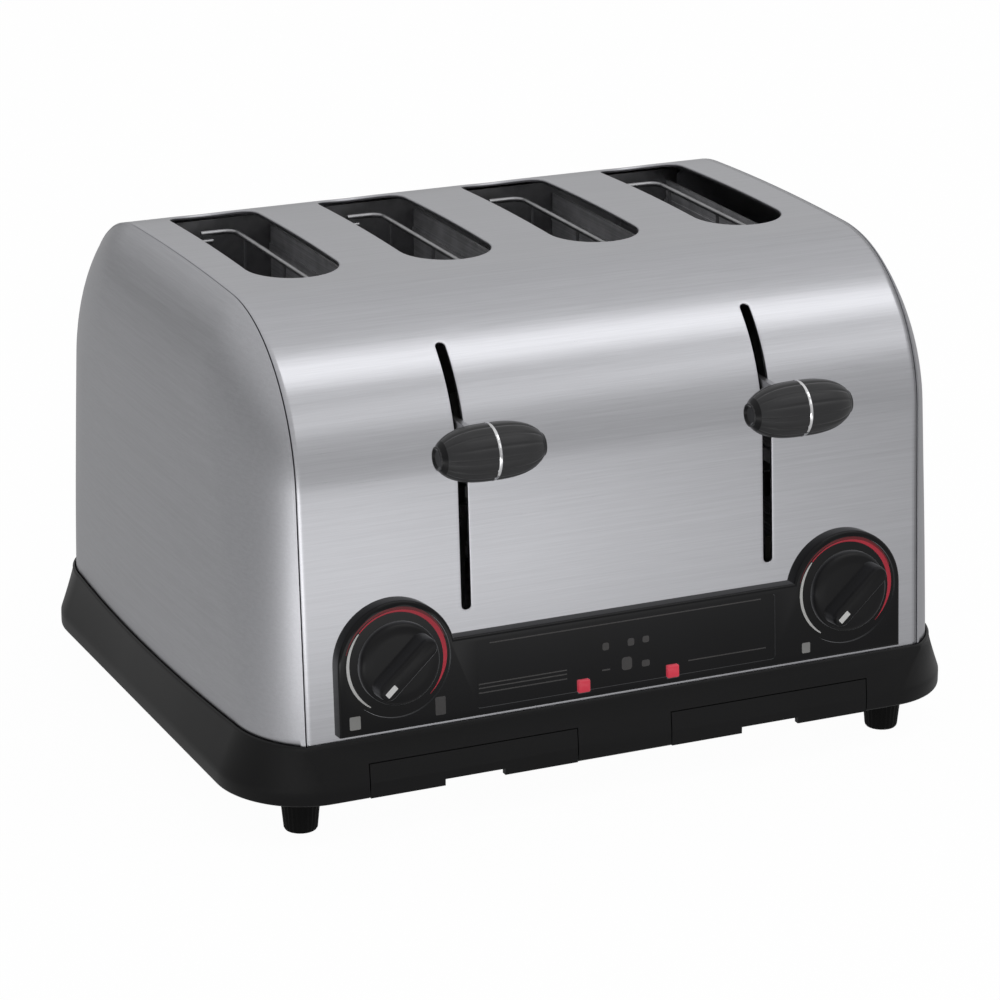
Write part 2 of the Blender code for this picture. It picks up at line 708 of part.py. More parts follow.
def make_base_skirt(toaster):
    """A section carried round the plan: flared wall, lip round the body, shelf under it."""
    shelf_top = BODY_FOOT_Z - FIT
    shelf_bottom = shelf_top - SHELF_WALL
    section = [
        (SKIRT_EDGE, FOOT_HEIGHT, 0),
        (0, FOOT_HEIGHT + SKIRT_EDGE, 0),
        (0, FOOT_HEIGHT + SKIRT_BAND, 0),
        (0, LIP_Z - LIP_DROP, 1),
        (SKIRT_EDGE, LIP_Z, 1),
        (LIP_WIDTH, LIP_Z, 1),
        (LIP_WIDTH, shelf_top, 1),
        (LIP_WIDTH + SHELF_WIDTH, shelf_top, 1),
        (LIP_WIDTH + SHELF_WIDTH, shelf_bottom, 1),
        (SKIRT_WALL, shelf_bottom, skirt_rise(shelf_bottom)),
        (SKIRT_WALL, FOOT_HEIGHT + SKIRT_BAND, 0),
        (SKIRT_WALL, FOOT_HEIGHT, 0),
    ]
    rings = [[(x, y, z) for x, y in skirt_outline(inset, rise)] for inset, z, rise in section]
    skirt = toaster.piece("base_skirt", loft(rings, closed_section=True), "black_moulding")
    cutters = []
    for side in (-1, 1):
        low_x = side * TRAY_X - TRAY_WIDTH / 2
        front_y = -BASE_DEPTH / 2
        low = (low_x, front_y - OVER, FOOT_HEIGHT - OVER)
        high = (low_x + TRAY_WIDTH, front_y + SKIRT_WALL + SKIRT_FLARE, TRAY_TOP_Z)
        cutters.append(box(low, high))
    toaster.cut(skirt, cutters)


def make_bottom_plate(toaster):
    outline = base_outline(SKIRT_WALL + FIT)
    plate = toaster.piece("bottom_plate", prism(outline, PLATE_Z, PLATE_Z + PLATE_WALL), "plated_steel")
    vents = []
    for row in (-1, 1):
        for k in range(VENTS):
            centre = ((k - (VENTS - 1) / 2) * VENT_PITCH, row * VENT_Y)
            slot = upright_stadium(centre, VENT_WIDTH, VENT_LENGTH, 2)
            vents.append(prism(slot, PLATE_Z - OVER, PLATE_Z + PLATE_WALL + OVER))
    toaster.cut(plate, vents)


def make_foot(toaster, name, x, y):
    """A tapered ribbed foot. Its ring of points goes in and out for the ribs and closes to a plain collar."""
    top = PLATE_Z - FIT
    levels = [
        (FOOT_RADIUS - FOOT_TAPER - FOOT_RIB, 0, 0),
        (FOOT_RADIUS - FOOT_TAPER, FOOT_RIB, FOOT_RIB),
        (FOOT_RADIUS, top - FOOT_COLLAR, FOOT_RIB),
        (FOOT_RADIUS + FOOT_RIB, top - FOOT_COLLAR, 0),
        (FOOT_RADIUS + FOOT_RIB, top, 0),
    ]
    count = 2 * FOOT_RIBS
    rings = []
    for radius, z, rib in levels:
        ring = []
        for k in range(count):
            angle = 2 * math.pi * k / count
            reach = radius - rib * (k % 2)
            ring.append((x + reach * math.cos(angle), y + reach * math.sin(angle), z))
        rings.append(ring)
    toaster.piece(name, loft(rings), "foot_rubber", origin=(x, y, 0))


def make_crumb_tray(toaster, side):
    """A shallow pan with a front that fills its gap in the skirt, and a finger notch below."""
    half = TRAY_WIDTH / 2 - TRAY_GAP
    front_y = -BASE_DEPTH / 2
    bend_z = FOOT_HEIGHT + SKIRT_BAND
    top_z = TRAY_TOP_Z - TRAY_GAP
    inset = SKIRT_FLARE * skirt_rise(top_z)
    outline = [(front_y, FOOT_HEIGHT), (front_y, bend_z), (front_y + inset, top_z)]
    outline += [(front_y + SKIRT_WALL + inset, top_z), (front_y + SKIRT_WALL, FOOT_HEIGHT)]
    middle = side * TRAY_X
    origin = (middle, front_y, FLOOR_Z)
    front = prism(outline, middle - half, middle + half, ALONG_X)
    tray = toaster.piece(f"{side_name(side)}_crumb_tray", front, "black_moulding", origin)
    pan_half = half - TRAY_SIDE_GAP
    pan_front = front_y + SKIRT_WALL - SKIRT_EDGE
    pan_rear = CHAMBER_REAR - FIT
    pan = box((middle - pan_half, pan_front, FLOOR_Z), (middle + pan_half, pan_rear, FLOOR_Z + TRAY_RIM))
    toaster.join(tray, [pan])
    wall = TRAY_FLOOR
    hollow_low = (middle - pan_half + wall, front_y + SKIRT_WALL + inset, FLOOR_Z + wall)
    hollow_high = (middle + pan_half - wall, pan_rear - wall, FLOOR_Z + TRAY_RIM + OVER)
    grip_low = (middle - FINGER_WIDTH / 2, front_y - OVER, FOOT_HEIGHT - OVER)
    grip_high = (middle + FINGER_WIDTH / 2, front_y + SKIRT_WALL + OVER, FOOT_HEIGHT + FINGER_HEIGHT)
    toaster.cut(tray, [box(hollow_low, hollow_high), box(grip_low, grip_high)])


# Toasting chamber


def make_bulkhead(toaster, name, low_y):
    """A chamber end wall under the wrapper, with an upright slit for each bread rack."""
    high_y = low_y + BULKHEAD_WALL
    top_z = min(profile_z(low_y, SHEET), profile_z(high_y, SHEET)) - BULKHEAD_HEAD
    wall = box((-BULKHEAD_HALF, low_y, FLOOR_Z), (BULKHEAD_HALF, high_y, top_z))
    bulkhead = toaster.piece(name, wall, "plated_steel")
    slit_half = RACK_WIDTH / 2 + RUN
    slits = []
    for centre in SLOT_CENTRES:
        low = (centre - slit_half, low_y - OVER, RACK_Z - LEVER_DROP - RUN)
        high = (centre + slit_half, high_y + OVER, RACK_TOP_Z + LEVER_LIFT + RUN)
        slits.append(box(low, high))
    toaster.cut(bulkhead, slits)
    return bulkhead


def make_front_bulkhead(toaster):
    """The front wall stands over the trays. Its tabs carry each carriage's rod, spring and latch magnet."""
    low_y = CHAMBER_FRONT - BULKHEAD_WALL
    bulkhead = make_bulkhead(toaster, "front_bulkhead", low_y)
    tabs = []
    holes = []
    for side in (-1, 1):
        rod_x = side * LEVER_X
        spring_end = rod_x - side * (SPRING_OFFSET + 2 * SPRING_RADIUS)
        ends = sorted((spring_end, rod_x + side * CARRIAGE_HALF))
        root_y = low_y + BULKHEAD_WALL / 2
        tabs.append(box((ends[0], low_y - TOP_TAB_REACH, TOP_TAB_Z), (ends[1], root_y, TOP_TAB_Z + TAB_WALL)))
        low = (rod_x - CARRIAGE_HALF, low_y - FOOT_TAB_REACH, FOOT_TAB_Z)
        tabs.append(box(low, (rod_x + CARRIAGE_HALF, root_y, FOOT_TAB_TOP)))
        top = TOP_TAB_Z + TAB_WALL + OVER
        holes.append(rod((rod_x, ROD_Y), ROD_RADIUS + FIT, FOOT_TAB_Z - OVER, top, ROD_SIDES))
        reach = TRAY_WIDTH / 2
        low = (side * TRAY_X - reach, low_y - OVER, FLOOR_Z - OVER)
        holes.append(box(low, (side * TRAY_X + reach, CHAMBER_FRONT + OVER, FOOT_TAB_Z)))
    toaster.join(bulkhead, tabs)
    toaster.cut(bulkhead, holes)


def make_heat_shield(toaster, side):
    outer = BULKHEAD_HALF - SHIELD_INSET
    ends = sorted((side * outer, side * (outer - SHIELD_WALL)))
    wall = box((ends[0], CHAMBER_LOW_Y, FLOOR_Z), (ends[1], CHAMBER_HIGH_Y, SHIELD_TOP_Z))
    toaster.piece(f"{side_name(side)}_heat_shield", wall, "plated_steel")


def make_heating_element(toaster, number, x):
    """A mica card with flat windings across both faces: a stepped outline as long as the chamber."""
    height = CARD_TOP_Z - CARD_BOTTOM_Z
    pitch = height / WINDINGS
    face = CARD_WALL / 2
    proud = face + WINDING_PROUD
    edge = []
    for k in range(WINDINGS):
        middle = CARD_BOTTOM_Z + pitch * (k + 0.5)
        low = middle - WINDING_HEIGHT / 2
        high = middle + WINDING_HEIGHT / 2
        edge += [(face, low), (proud, low), (proud, high), (face, high)]
    right = [(x + reach, z) for reach, z in [(face, CARD_BOTTOM_Z)] + edge + [(face, CARD_TOP_Z)]]
    left = [(2 * x - across, z) for across, z in reversed(right)]
    card = prism(right + left, CHAMBER_LOW_Y, CHAMBER_HIGH_Y, ALONG_Y)
    toaster.piece(f"heating_element_{number}", card, "mica")


def make_bread_guard(toaster, number, side):
    """A wire guard on one side of a slot: long wires between the bulkheads, stays and a hooked rail."""
    centre = SLOT_CENTRES[number - 1]
    top_z = GUARD_TOP_Z if side > 0 else GUARD_TOP_Z - HOOK_PASS
    span = GUARD_TOP_Z - GUARD_BOTTOM_Z

    def guard_x(z):
        share = (z - GUARD_BOTTOM_Z) / span
        return centre + side * (GUARD_BOTTOM_X + (GUARD_TOP_X - GUARD_BOTTOM_X) * share)

    rail_x = guard_x(top_z)
    tip_x = centre - side * HOOK_PAST
    bend = (rail_x - side * HOOK_RADIUS, HOOK_REAR - HOOK_RADIUS)
    start = 0 if side > 0 else math.pi
    corner = arc(bend, HOOK_RADIUS, start, math.pi / 2, HOOK_STEPS)
    path = [(rail_x, CHAMBER_LOW_Y)] + corner + [(tip_x, HOOK_REAR)]
    rail = tube([(x, y, top_z) for x, y in path], RAIL_RADIUS, RAIL_SIDES)
    long_wires = [rail]
    for k in range(1, GUARD_WIRES + 1):
        z = GUARD_TOP_Z - k * WIRE_PITCH
        x = guard_x(z)
        low = (x - WIRE_HALF, CHAMBER_LOW_Y, z - WIRE_HALF)
        long_wires.append(box(low, (x + WIRE_HALF, CHAMBER_HIGH_Y, z + WIRE_HALF)))
    guard = toaster.piece(f"bread_guard_{number}_{side_name(side)}", merged(long_wires), "plated_steel")
    stays = []
    pitch = (CHAMBER_HIGH_Y - CHAMBER_LOW_Y) / GUARD_STAYS
    for k in range(GUARD_STAYS):
        y = CHAMBER_LOW_Y + (k + 0.5) * pitch
        outline = []
        for z, edge in ((GUARD_BOTTOM_Z, -1), (GUARD_BOTTOM_Z, 1), (top_z, 1), (top_z, -1)):
            outline.append((guard_x(z) + edge * STAY_HALF, z))
        stays.append(prism(outline, y - STAY_HALF, y + STAY_HALF, ALONG_Y))
    toaster.join(guard, stays)


# Levers and carriages


def knob_profile():
    """Half of the knob's side view: (distance along X, radius), an arc that ends in a small flat."""
    span = KNOB_HALF
    sagitta = KNOB_RADIUS - KNOB_END_RADIUS
    radius = (span * span + sagitta * sagitta) / (2 * sagitta)
    points = []
    for step in range(KNOB_STEPS + 1):
        along = (span - KNOB_END_EDGE) * step / KNOB_STEPS
        points.append((along, KNOB_RADIUS - radius + math.sqrt(radius * radius - along * along)))
    points.append((span, points[-1][1] - KNOB_END_EDGE))
    return points


def arm_socket(middle):
    """The space that the arm takes up behind the middle of a knob."""
    reach = Vector((ARM_WALL / 2 + FIT, 0, ARM_HEIGHT / 2 + FIT))
    low = middle - reach - Vector((0, FIT, 0))
    return box(low, middle + reach + Vector((0, KNOB_RADIUS + OVER, 0)))


def make_lever_knob(toaster, side):
    """A turned grip with a groove for its bright ring and a socket in its back for the arm."""
    ring_half = RING_WIDTH / 2 + FIT
    groove = KNOB_RADIUS - RING_WALL
    half = knob_profile()
    section = [(radius, -along) for along, radius in reversed(half) if along > ring_half]
    section += [(half[0][1], -ring_half), (groove, -ring_half)]
    section += [(groove, ring_half), (half[0][1], ring_half)]
    section += [(radius, along) for along, radius in half if along > ring_half]
    middle = Vector((side * LEVER_X, LEVER_Y, LEVER_Z))
    frame = Matrix.Translation(middle) @ ALONG_X
    grip = lathe(section, KNOB_SIDES, frame)
    knob = toaster.piece(f"{side_name(side)}_lever_knob", grip, "grip", middle)
    toaster.cut(knob, [arm_socket(middle)])


def make_lever_ring(toaster, side):
    """A bright band round the middle of the grip, open at the back where the arm goes in."""
    middle = Vector((side * LEVER_X, LEVER_Y, LEVER_Z))
    frame = Matrix.Translation(middle) @ ALONG_X
    inner = KNOB_RADIUS - RING_WALL + FIT
    outer = KNOB_RADIUS + RING_PROUD
    half = RING_WIDTH / 2
    section = [(inner, -half), (outer, -half), (outer, half), (inner, half)]
    band = lathe(section, KNOB_SIDES, frame, closed_section=True)
    ring = toaster.piece(f"{side_name(side)}_lever_ring", band, "chrome", middle)
    toaster.cut(ring, [arm_socket(middle)])


def make_lever_arm(toaster, side):
    """A flat arm from the knob's socket, through the slit in the front, to the carriage plate."""
    x = side * LEVER_X
    low = (x - ARM_WALL / 2, LEVER_Y, LEVER_Z - ARM_HEIGHT / 2)
    high = (x + ARM_WALL / 2, CARRIAGE_Y - CARRIAGE_WALL - FIT, LEVER_Z + ARM_HEIGHT / 2)
    toaster.piece(f"{side_name(side)}_lever_arm", box(low, high), "plated_steel", (x, LEVER_Y, LEVER_Z))


def make_carriage(toaster, side):
    """A plate with two lugs on its rod, a crossbar for two racks and a tab that the latch magnet holds."""
    x = side * LEVER_X
    front_y = CARRIAGE_Y - CARRIAGE_WALL
    low = (x - CARRIAGE_HALF, front_y, RACK_Z)
    plate = box(low, (x + CARRIAGE_HALF, CARRIAGE_Y, CARRIAGE_TOP_Z))
    origin = (x, ROD_Y, RACK_Z)
    carriage = toaster.piece(f"{side_name(side)}_carriage", plate, "plated_steel", origin)
    bar_half = SLOT_PITCH / 2 + RACK_WIDTH / 2
    inner_y = CARRIAGE_Y - SHEET / 2
    bar = box((x - bar_half, front_y, RACK_Z), (x + bar_half, CARRIAGE_Y, RACK_Z + CROSSBAR_HEIGHT))
    lug_half = ROD_RADIUS + LUG_WALL
    lugs = []
    for low_z in (RACK_Z, CARRIAGE_TOP_Z - LUG_HEIGHT):
        low = (x - lug_half, inner_y, low_z)
        lugs.append(box(low, (x + lug_half, ROD_Y + lug_half, low_z + LUG_HEIGHT)))
    reach_y = front_y - ARMATURE_REACH
    tab_z = RACK_Z + ARMATURE_RISE
    armature_high = (x + MAGNET_HALF, front_y + SHEET / 2, tab_z + ARMATURE_WALL)
    armature = box((x - MAGNET_HALF, reach_y, tab_z), armature_high)
    toaster.join(carriage, [bar])
    toaster.join(carriage, lugs + [armature])
    bore = rod((x, ROD_Y), ROD_RADIUS + FIT, RACK_Z - OVER, CARRIAGE_TOP_Z + OVER, ROD_SIDES)
    toaster.cut(carriage, [bore])


def make_bread_rack(toaster, number):
    """A channel that lifts the bread, notched along its top, running through both bulkheads."""
    x = SLOT_CENTRES[number - 1]
    half = RACK_WIDTH / 2
    inner = half - RACK_WALL
    outline = [
        (x - half, RACK_Z),
        (x - half, RACK_TOP_Z),
        (x + half, RACK_TOP_Z),
        (x + half, RACK_Z),
        (x + inner, RACK_Z),
        (x + inner, RACK_TOP_Z - RACK_WALL - NOTCH_DEPTH),
        (x - inner, RACK_TOP_Z - RACK_WALL - NOTCH_DEPTH),
        (x - inner, RACK_Z),
    ]
    front_y = CARRIAGE_Y + FIT
    rear_y = CHAMBER_REAR + BULKHEAD_WALL + RACK_REACH
    channel = prism(outline, front_y, rear_y, ALONG_Y)
    rack = toaster.piece(f"bread_rack_{number}", channel, "plated_steel", (x, ROD_Y, RACK_Z))
    pitch = (CHAMBER_HIGH_Y - CHAMBER_LOW_Y) / (RACK_NOTCHES + 1)
    notches = []
    for k in range(1, RACK_NOTCHES + 1):
        y = CHAMBER_LOW_Y + k * pitch
        low = (x - half - OVER, y - NOTCH_LENGTH / 2, RACK_TOP_Z - NOTCH_DEPTH)
        notches.append(box(low, (x + half + OVER, y + NOTCH_LENGTH / 2, RACK_TOP_Z + OVER)))
    toaster.cut(rack, notches)


def make_guide_rod(toaster, side):
    x = side * LEVER_X
    top = TOP_TAB_Z + TAB_WALL + ROD_HEAD
    shape = rod((x, ROD_Y), ROD_RADIUS, FOOT_TAB_Z, top, ROD_SIDES)
    toaster.piece(f"{side_name(side)}_guide_rod", shape, "chrome", (x, ROD_Y, FOOT_TAB_Z))


def make_return_spring(toaster, side):
    """A coil from the crossbar up to the top tab, wound from one helix formula. Prints its least gap."""
    x = side * (LEVER_X - SPRING_OFFSET)
    y = CARRIAGE_Y - CARRIAGE_WALL / 2
    low = RACK_Z + CROSSBAR_HEIGHT + FIT + SPRING_WIRE
    high = TOP_TAB_Z - FIT - SPRING_WIRE
    count = SPRING_CURLS * SPRING_POINTS
    points = []
    for k in range(count + 1):
        angle = 2 * math.pi * k / SPRING_POINTS
        across = SPRING_RADIUS * math.cos(angle)
        along = SPRING_RADIUS * math.sin(angle)
        points.append((x + across, y + along, low + (high - low) * k / count))
    gap = min(math.dist(points[0], point) for point in points[SPRING_POINTS // 2 :]) - 2 * SPRING_WIRE
    print(f"{side_name(side)} spring: least gap between curls {gap * 1000:.2f} mm")
    wire = tube(points, SPRING_WIRE, SPRING_SIDES)
    toaster.piece(f"{side_name(side)}_return_spring", wire, "plated_steel", (x, y, high))


def make_latch_magnet(toaster, side):
    """An electromagnet on the foot tab that holds the carriage's armature while bread is toasting."""
    x = side * LEVER_X
    face_z = RACK_Z + ARMATURE_RISE - LEVER_DROP - RUN
    rear_y = CARRIAGE_Y - CARRIAGE_WALL - RUN
    front_y = rear_y - MAGNET_DEPTH
    coil_z = face_z - POLE_HEIGHT
    low_z = FOOT_TAB_TOP + FIT
    yoke_top = low_z + POLE_HEIGHT
    yoke = box((x - MAGNET_HALF, front_y, low_z), (x + MAGNET_HALF, rear_y, yoke_top))
    name = f"{side_name(side)}_latch_magnet"
    magnet = toaster.piece(name, yoke, "plated_steel", (x, (front_y + rear_y) / 2, low_z))
    middle = (x, (front_y + rear_y) / 2)
    coil = rod(middle, COIL_RADIUS, yoke_top - SHEET / 2, coil_z, COIL_SIDES)
    pole = rod(middle, COIL_RADIUS / 2, coil_z - SHEET, face_z, COIL_SIDES)
    toaster.join(magnet, [coil])
    toaster.join(magnet, [pole])


# Controls


def fascia_outline():
    """Two arched housings joined by a strip, seen from the front."""
    rise = STRIP_TOP_V - DIAL_V
    meet = math.asin(rise / HOUSING_RADIUS)
    right = arc((DIAL_X, DIAL_V), HOUSING_RADIUS, 0, math.pi - meet, HOUSING_STEPS)
    left = [(-x, v) for x, v in reversed(right)]
    edge = DIAL_X + HOUSING_RADIUS
    return [(-edge, FASCIA_BOTTOM_V), (edge, FASCIA_BOTTOM_V)] + right + left


def make_fascia(toaster):
    frame = front_frame()
    fascia = toaster.piece(
        "control_fascia", prism(fascia_outline(), FIT, FASCIA_DEPTH, frame), "black_gloss"
    )
    toaster.bevel(fascia, FASCIA_EDGE)
    low = (-LABEL_HALF, LABEL_BOTTOM_V)
    label = rectangle(low, (LABEL_HALF, LABEL_TOP_V))
    recess = prism(label, FASCIA_DEPTH - LABEL_DEPTH, FASCIA_DEPTH + OVER, frame)
    shallow = [recess]
    through = []
    half = LENS_SIZE / 2
    for side in (-1, 1):
        dial = front_frame(side * DIAL_X, DIAL_V)
        shallow.append(rod((0, 0), DIAL_POCKET_RADIUS, POCKET_FLOOR, FASCIA_DEPTH + OVER, POCKET_SIDES, dial))
        through.append(rod((0, 0), SHAFT_HOLE_RADIUS, -OVER, FASCIA_DEPTH + OVER, SHAFT_SIDES, dial))
        lamp = front_frame(side * LENS_X, LENS_V)
        through.append(prism(rectangle((-half, -half), (half, half)), -OVER, FASCIA_DEPTH + OVER, lamp))
    toaster.cut(fascia, shallow)
    toaster.cut(fascia, through)


def make_dial(toaster, side):
    """A round foot with a grip bar across it, which points to the scale, and a blind bore for the shaft."""
    frame = front_frame(side * DIAL_X, DIAL_V)
    origin = frame @ Vector((0, 0, DIAL_FOOT))
    base_top = DIAL_FOOT + DIAL_BASE_HEIGHT
    section = [
        (DIAL_RADIUS, DIAL_FOOT),
        (DIAL_RADIUS, DIAL_FOOT + DIAL_BASE_HEIGHT / 2),
        (DIAL_RIM_RADIUS, base_top),
    ]
    foot = lathe(section, DIAL_SIDES, frame)
    dial = toaster.piece(f"{side_name(side)}_dial", foot, "black_gloss", origin)
    turned = frame @ Matrix.Rotation(DIAL_REST - math.pi / 2, 4, "Z")
    bar_length = 2 * DIAL_RIM_RADIUS - DIAL_BAR_EDGE
    outline = upright_stadium((0, 0), DIAL_BAR_WIDTH, bar_length, 4)
    shoulder = [(x * (1 - DIAL_BAR_EDGE / DIAL_BAR_WIDTH), y) for x, y in outline]
    rings = []
    for ring, height in ((outline, base_top - DIAL_BAR_EDGE), (shoulder, DIAL_FOOT + DIAL_BAR_HEIGHT)):
        rings.append([turned @ Vector((x, y, height)) for x, y in ring])
    toaster.join(dial, [loft(rings)])
    bore_top = DIAL_FOOT + SHAFT_SOCKET + FIT
    bore = rod((0, 0), SHAFT_RADIUS + FIT, DIAL_FOOT - OVER, bore_top, SHAFT_SIDES, frame)
    toaster.cut(dial, [bore])


def make_dial_shaft(toaster, side):
    frame = front_frame(side * DIAL_X, DIAL_V)
    origin = frame @ Vector((0, 0, -SHAFT_TAIL))
    shape = rod((0, 0), SHAFT_RADIUS, -SHAFT_TAIL, DIAL_FOOT + SHAFT_SOCKET, SHAFT_SIDES, frame)
    toaster.piece(f"{side_name(side)}_dial_shaft", shape, "plated_steel", origin)


def make_timer_control(toaster, side):
    """The control that a dial turns: a case behind the front, held to it by its neck, bored for the shaft."""
    frame = front_frame(side * DIAL_X, DIAL_V)
    seat = -SHEET - FIT
    case_front = seat - CONTROL_STANDOFF
    case_back = case_front - CONTROL_DEPTH
    low = (-CONTROL_HALF_X, -CONTROL_HALF_V)
    case = prism(rectangle(low, (CONTROL_HALF_X, CONTROL_HALF_V)), case_back, case_front, frame)
    origin = frame @ Vector((0, 0, case_front))
    control = toaster.piece(f"{side_name(side)}_timer_control", case, "control_casing", origin)
    neck = rod((0, 0), CONTROL_NECK_RADIUS, case_front - SHEET, seat, SHAFT_SIDES, frame)
    toaster.join(control, [neck])
    bore = rod((0, 0), SHAFT_RADIUS + FIT, -SHAFT_TAIL - FIT, OVER, SHAFT_SIDES, frame)
    toaster.cut(control, [bore])


def make_indicator_lens(toaster, side):
    """A square lens pushed through the fascia from behind, with a tail that reaches the lamp."""
    frame = front_frame(side * LENS_X, LENS_V)
    half = LENS_SIZE / 2 - FIT
    front = FASCIA_DEPTH + LENS_PROUD
    lens = prism(rectangle((-half, -half), (half, half)), -LENS_TAIL, front, frame)
    origin = frame @ Vector((0, 0, FASCIA_DEPTH))
    piece = toaster.piece(f"{side_name(side)}_indicator_lens", lens, "red_lens", origin)
    toaster.bevel(piece, LENS_EDGE, 2)


def make_lamp_board(toaster):
    """A board on four posts behind the front, with a lamp behind each lens."""
    frame = front_frame()
    face = -BOARD_SETBACK
    back = face - BOARD_WALL
    low = (-BOARD_HALF, BOARD_BOTTOM_V)
    board_shape = prism(rectangle(low, (BOARD_HALF, BOARD_TOP_V)), back, face, frame)
    board = toaster.piece("lamp_board", board_shape, "board")
    fittings = []
    for side in (-1, 1):
        for v in (BOARD_BOTTOM_V + POST_INSET, BOARD_TOP_V - POST_INSET):
            x = side * (BOARD_HALF - POST_INSET)
            outline = rectangle((x - POST_HALF, v - POST_HALF), (x + POST_HALF, v + POST_HALF))
            fittings.append(prism(outline, face - BOARD_WALL / 2, -SHEET - FIT, frame))
        lamp = (side * LENS_X, LENS_V)
        fittings.append(rod(lamp, LAMP_RADIUS, face - BOARD_WALL / 2, -LENS_TAIL - FIT, LAMP_SIDES, frame))
    toaster.join(board, fittings)


# Back


def make_cable_gland(toaster):
    """A bush through the back wall with a flange on each side of the sheet and a bore for the cord."""
    frame = front_frame(-GLAND_X, GLAND_V, 1)
    inside = -SHEET - FIT
    neck = GLAND_NECK - FIT
    section = [
        (GLAND_BORE, FIT + GLAND_FLANGE_WALL),
        (GLAND_FLANGE, FIT + GLAND_FLANGE_WALL),
        (GLAND_FLANGE, FIT),
        (neck, FIT),
        (neck, inside),
        (GLAND_FLANGE, inside),
        (GLAND_FLANGE, inside - GLAND_FLANGE_WALL),
        (GLAND_BORE, inside - GLAND_FLANGE_WALL),
    ]
    bush = lathe(section, GLAND_SIDES, frame, closed_section=True)
    toaster.piece("cable_gland", bush, "black_moulding", frame.translation)


def make_terminal_block(toaster):
    low = (GLAND_X - TERMINAL_WIDTH / 2, TERMINAL_Y - TERMINAL_DEPTH / 2, FLOOR_Z)
    high = (GLAND_X + TERMINAL_WIDTH / 2, TERMINAL_Y + TERMINAL_DEPTH / 2, FLOOR_Z + TERMINAL_HEIGHT)
    block = toaster.piece("terminal_block", box(low, high), "control_casing", (GLAND_X, TERMINAL_Y, FLOOR_Z))
    pitch = TERMINAL_WIDTH / TERMINAL_WAYS
    notches = []
    for k in range(TERMINAL_WAYS):
        x = low[0] + pitch * (k + 0.5)
        notch_low = (x - TERMINAL_NOTCH / 2, low[1] - OVER, high[2] - TERMINAL_NOTCH)
        notches.append(box(notch_low, (x + TERMINAL_NOTCH / 2, TERMINAL_Y, high[2] + OVER)))
    toaster.cut(block, notches)


def build():
    clear_scene()
    toaster = Assembly()
    make_wrapper(toaster)
    make_base_skirt(toaster)
    make_bottom_plate(toaster)
    make_front_bulkhead(toaster)
    make_bulkhead(toaster, "rear_bulkhead", CHAMBER_REAR)
    for side in (-1, 1):
        make_end_panel(toaster, side)
        make_foot(toaster, f"front_{side_name(side)}_foot", side * FOOT_X, -FOOT_Y)
        make_foot(toaster, f"rear_{side_name(side)}_foot", side * FOOT_X, FOOT_Y)
        make_crumb_tray(toaster, side)
        make_heat_shield(toaster, side)
        make_lever_knob(toaster, side)
        make_lever_ring(toaster, side)
        make_lever_arm(toaster, side)
        make_carriage(toaster, side)
        make_guide_rod(toaster, side)
        make_return_spring(toaster, side)
        make_latch_magnet(toaster, side)
        make_dial(toaster, side)
        make_dial_shaft(toaster, side)
        make_timer_control(toaster, side)
        make_indicator_lens(toaster, side)
    outer_card = SLOT_CENTRES[-1] + CARD_OUTER
    for number, x in enumerate((-outer_card, -SLOT_PITCH, 0, SLOT_PITCH, outer_card), 1):
        make_heating_element(toaster, number, x)
    for number in range(1, len(SLOT_CENTRES) + 1):
        make_bread_rack(toaster, number)
        for side in (-1, 1):
            make_bread_guard(toaster, number, side)
    make_fascia(toaster)
    make_lamp_board(toaster)
    make_cable_gland(toaster)
    make_terminal_block(toaster)


build()
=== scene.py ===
# %% [markdown]
# # A four-slot toaster in brushed steel
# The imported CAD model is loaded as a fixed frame, and the pieces that show are drawn again over it with
# finer surfaces and real finishes. Every size is in metres: +X is to the right of someone who faces the
# front, the front looks to -Y and +Z is up. The body's middle lies a little behind the origin, because the
# levers stand out in front, so a piece is worked out about the body's middle and then moved by BODY_Y.

import json
import math

import bmesh
import bpy
import numpy as np
from mathutils import Matrix, Vector


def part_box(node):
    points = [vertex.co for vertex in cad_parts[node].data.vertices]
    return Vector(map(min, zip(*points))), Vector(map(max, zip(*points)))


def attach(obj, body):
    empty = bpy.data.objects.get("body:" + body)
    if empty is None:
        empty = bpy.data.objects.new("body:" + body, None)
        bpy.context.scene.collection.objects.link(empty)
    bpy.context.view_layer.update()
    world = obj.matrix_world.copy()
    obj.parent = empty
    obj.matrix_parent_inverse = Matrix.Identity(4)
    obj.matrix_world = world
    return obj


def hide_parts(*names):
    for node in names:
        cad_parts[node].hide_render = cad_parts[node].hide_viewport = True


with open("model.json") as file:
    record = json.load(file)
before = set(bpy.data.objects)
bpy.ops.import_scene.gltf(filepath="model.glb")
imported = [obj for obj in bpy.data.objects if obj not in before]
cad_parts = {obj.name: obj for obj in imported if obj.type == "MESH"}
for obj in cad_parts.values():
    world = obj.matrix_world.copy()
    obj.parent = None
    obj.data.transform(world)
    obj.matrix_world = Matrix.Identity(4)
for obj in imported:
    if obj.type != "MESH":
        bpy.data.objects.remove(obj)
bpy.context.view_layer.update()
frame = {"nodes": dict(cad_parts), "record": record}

# %% [markdown]
# ## The sizes of the body
# The shell is one bent sheet. From the side it is a leaning straight, an arc, and a crown that is almost
# flat, the same at the front and at the back. These are the CAD model's own sizes, and its boxes give the
# places of the pieces that carry them.

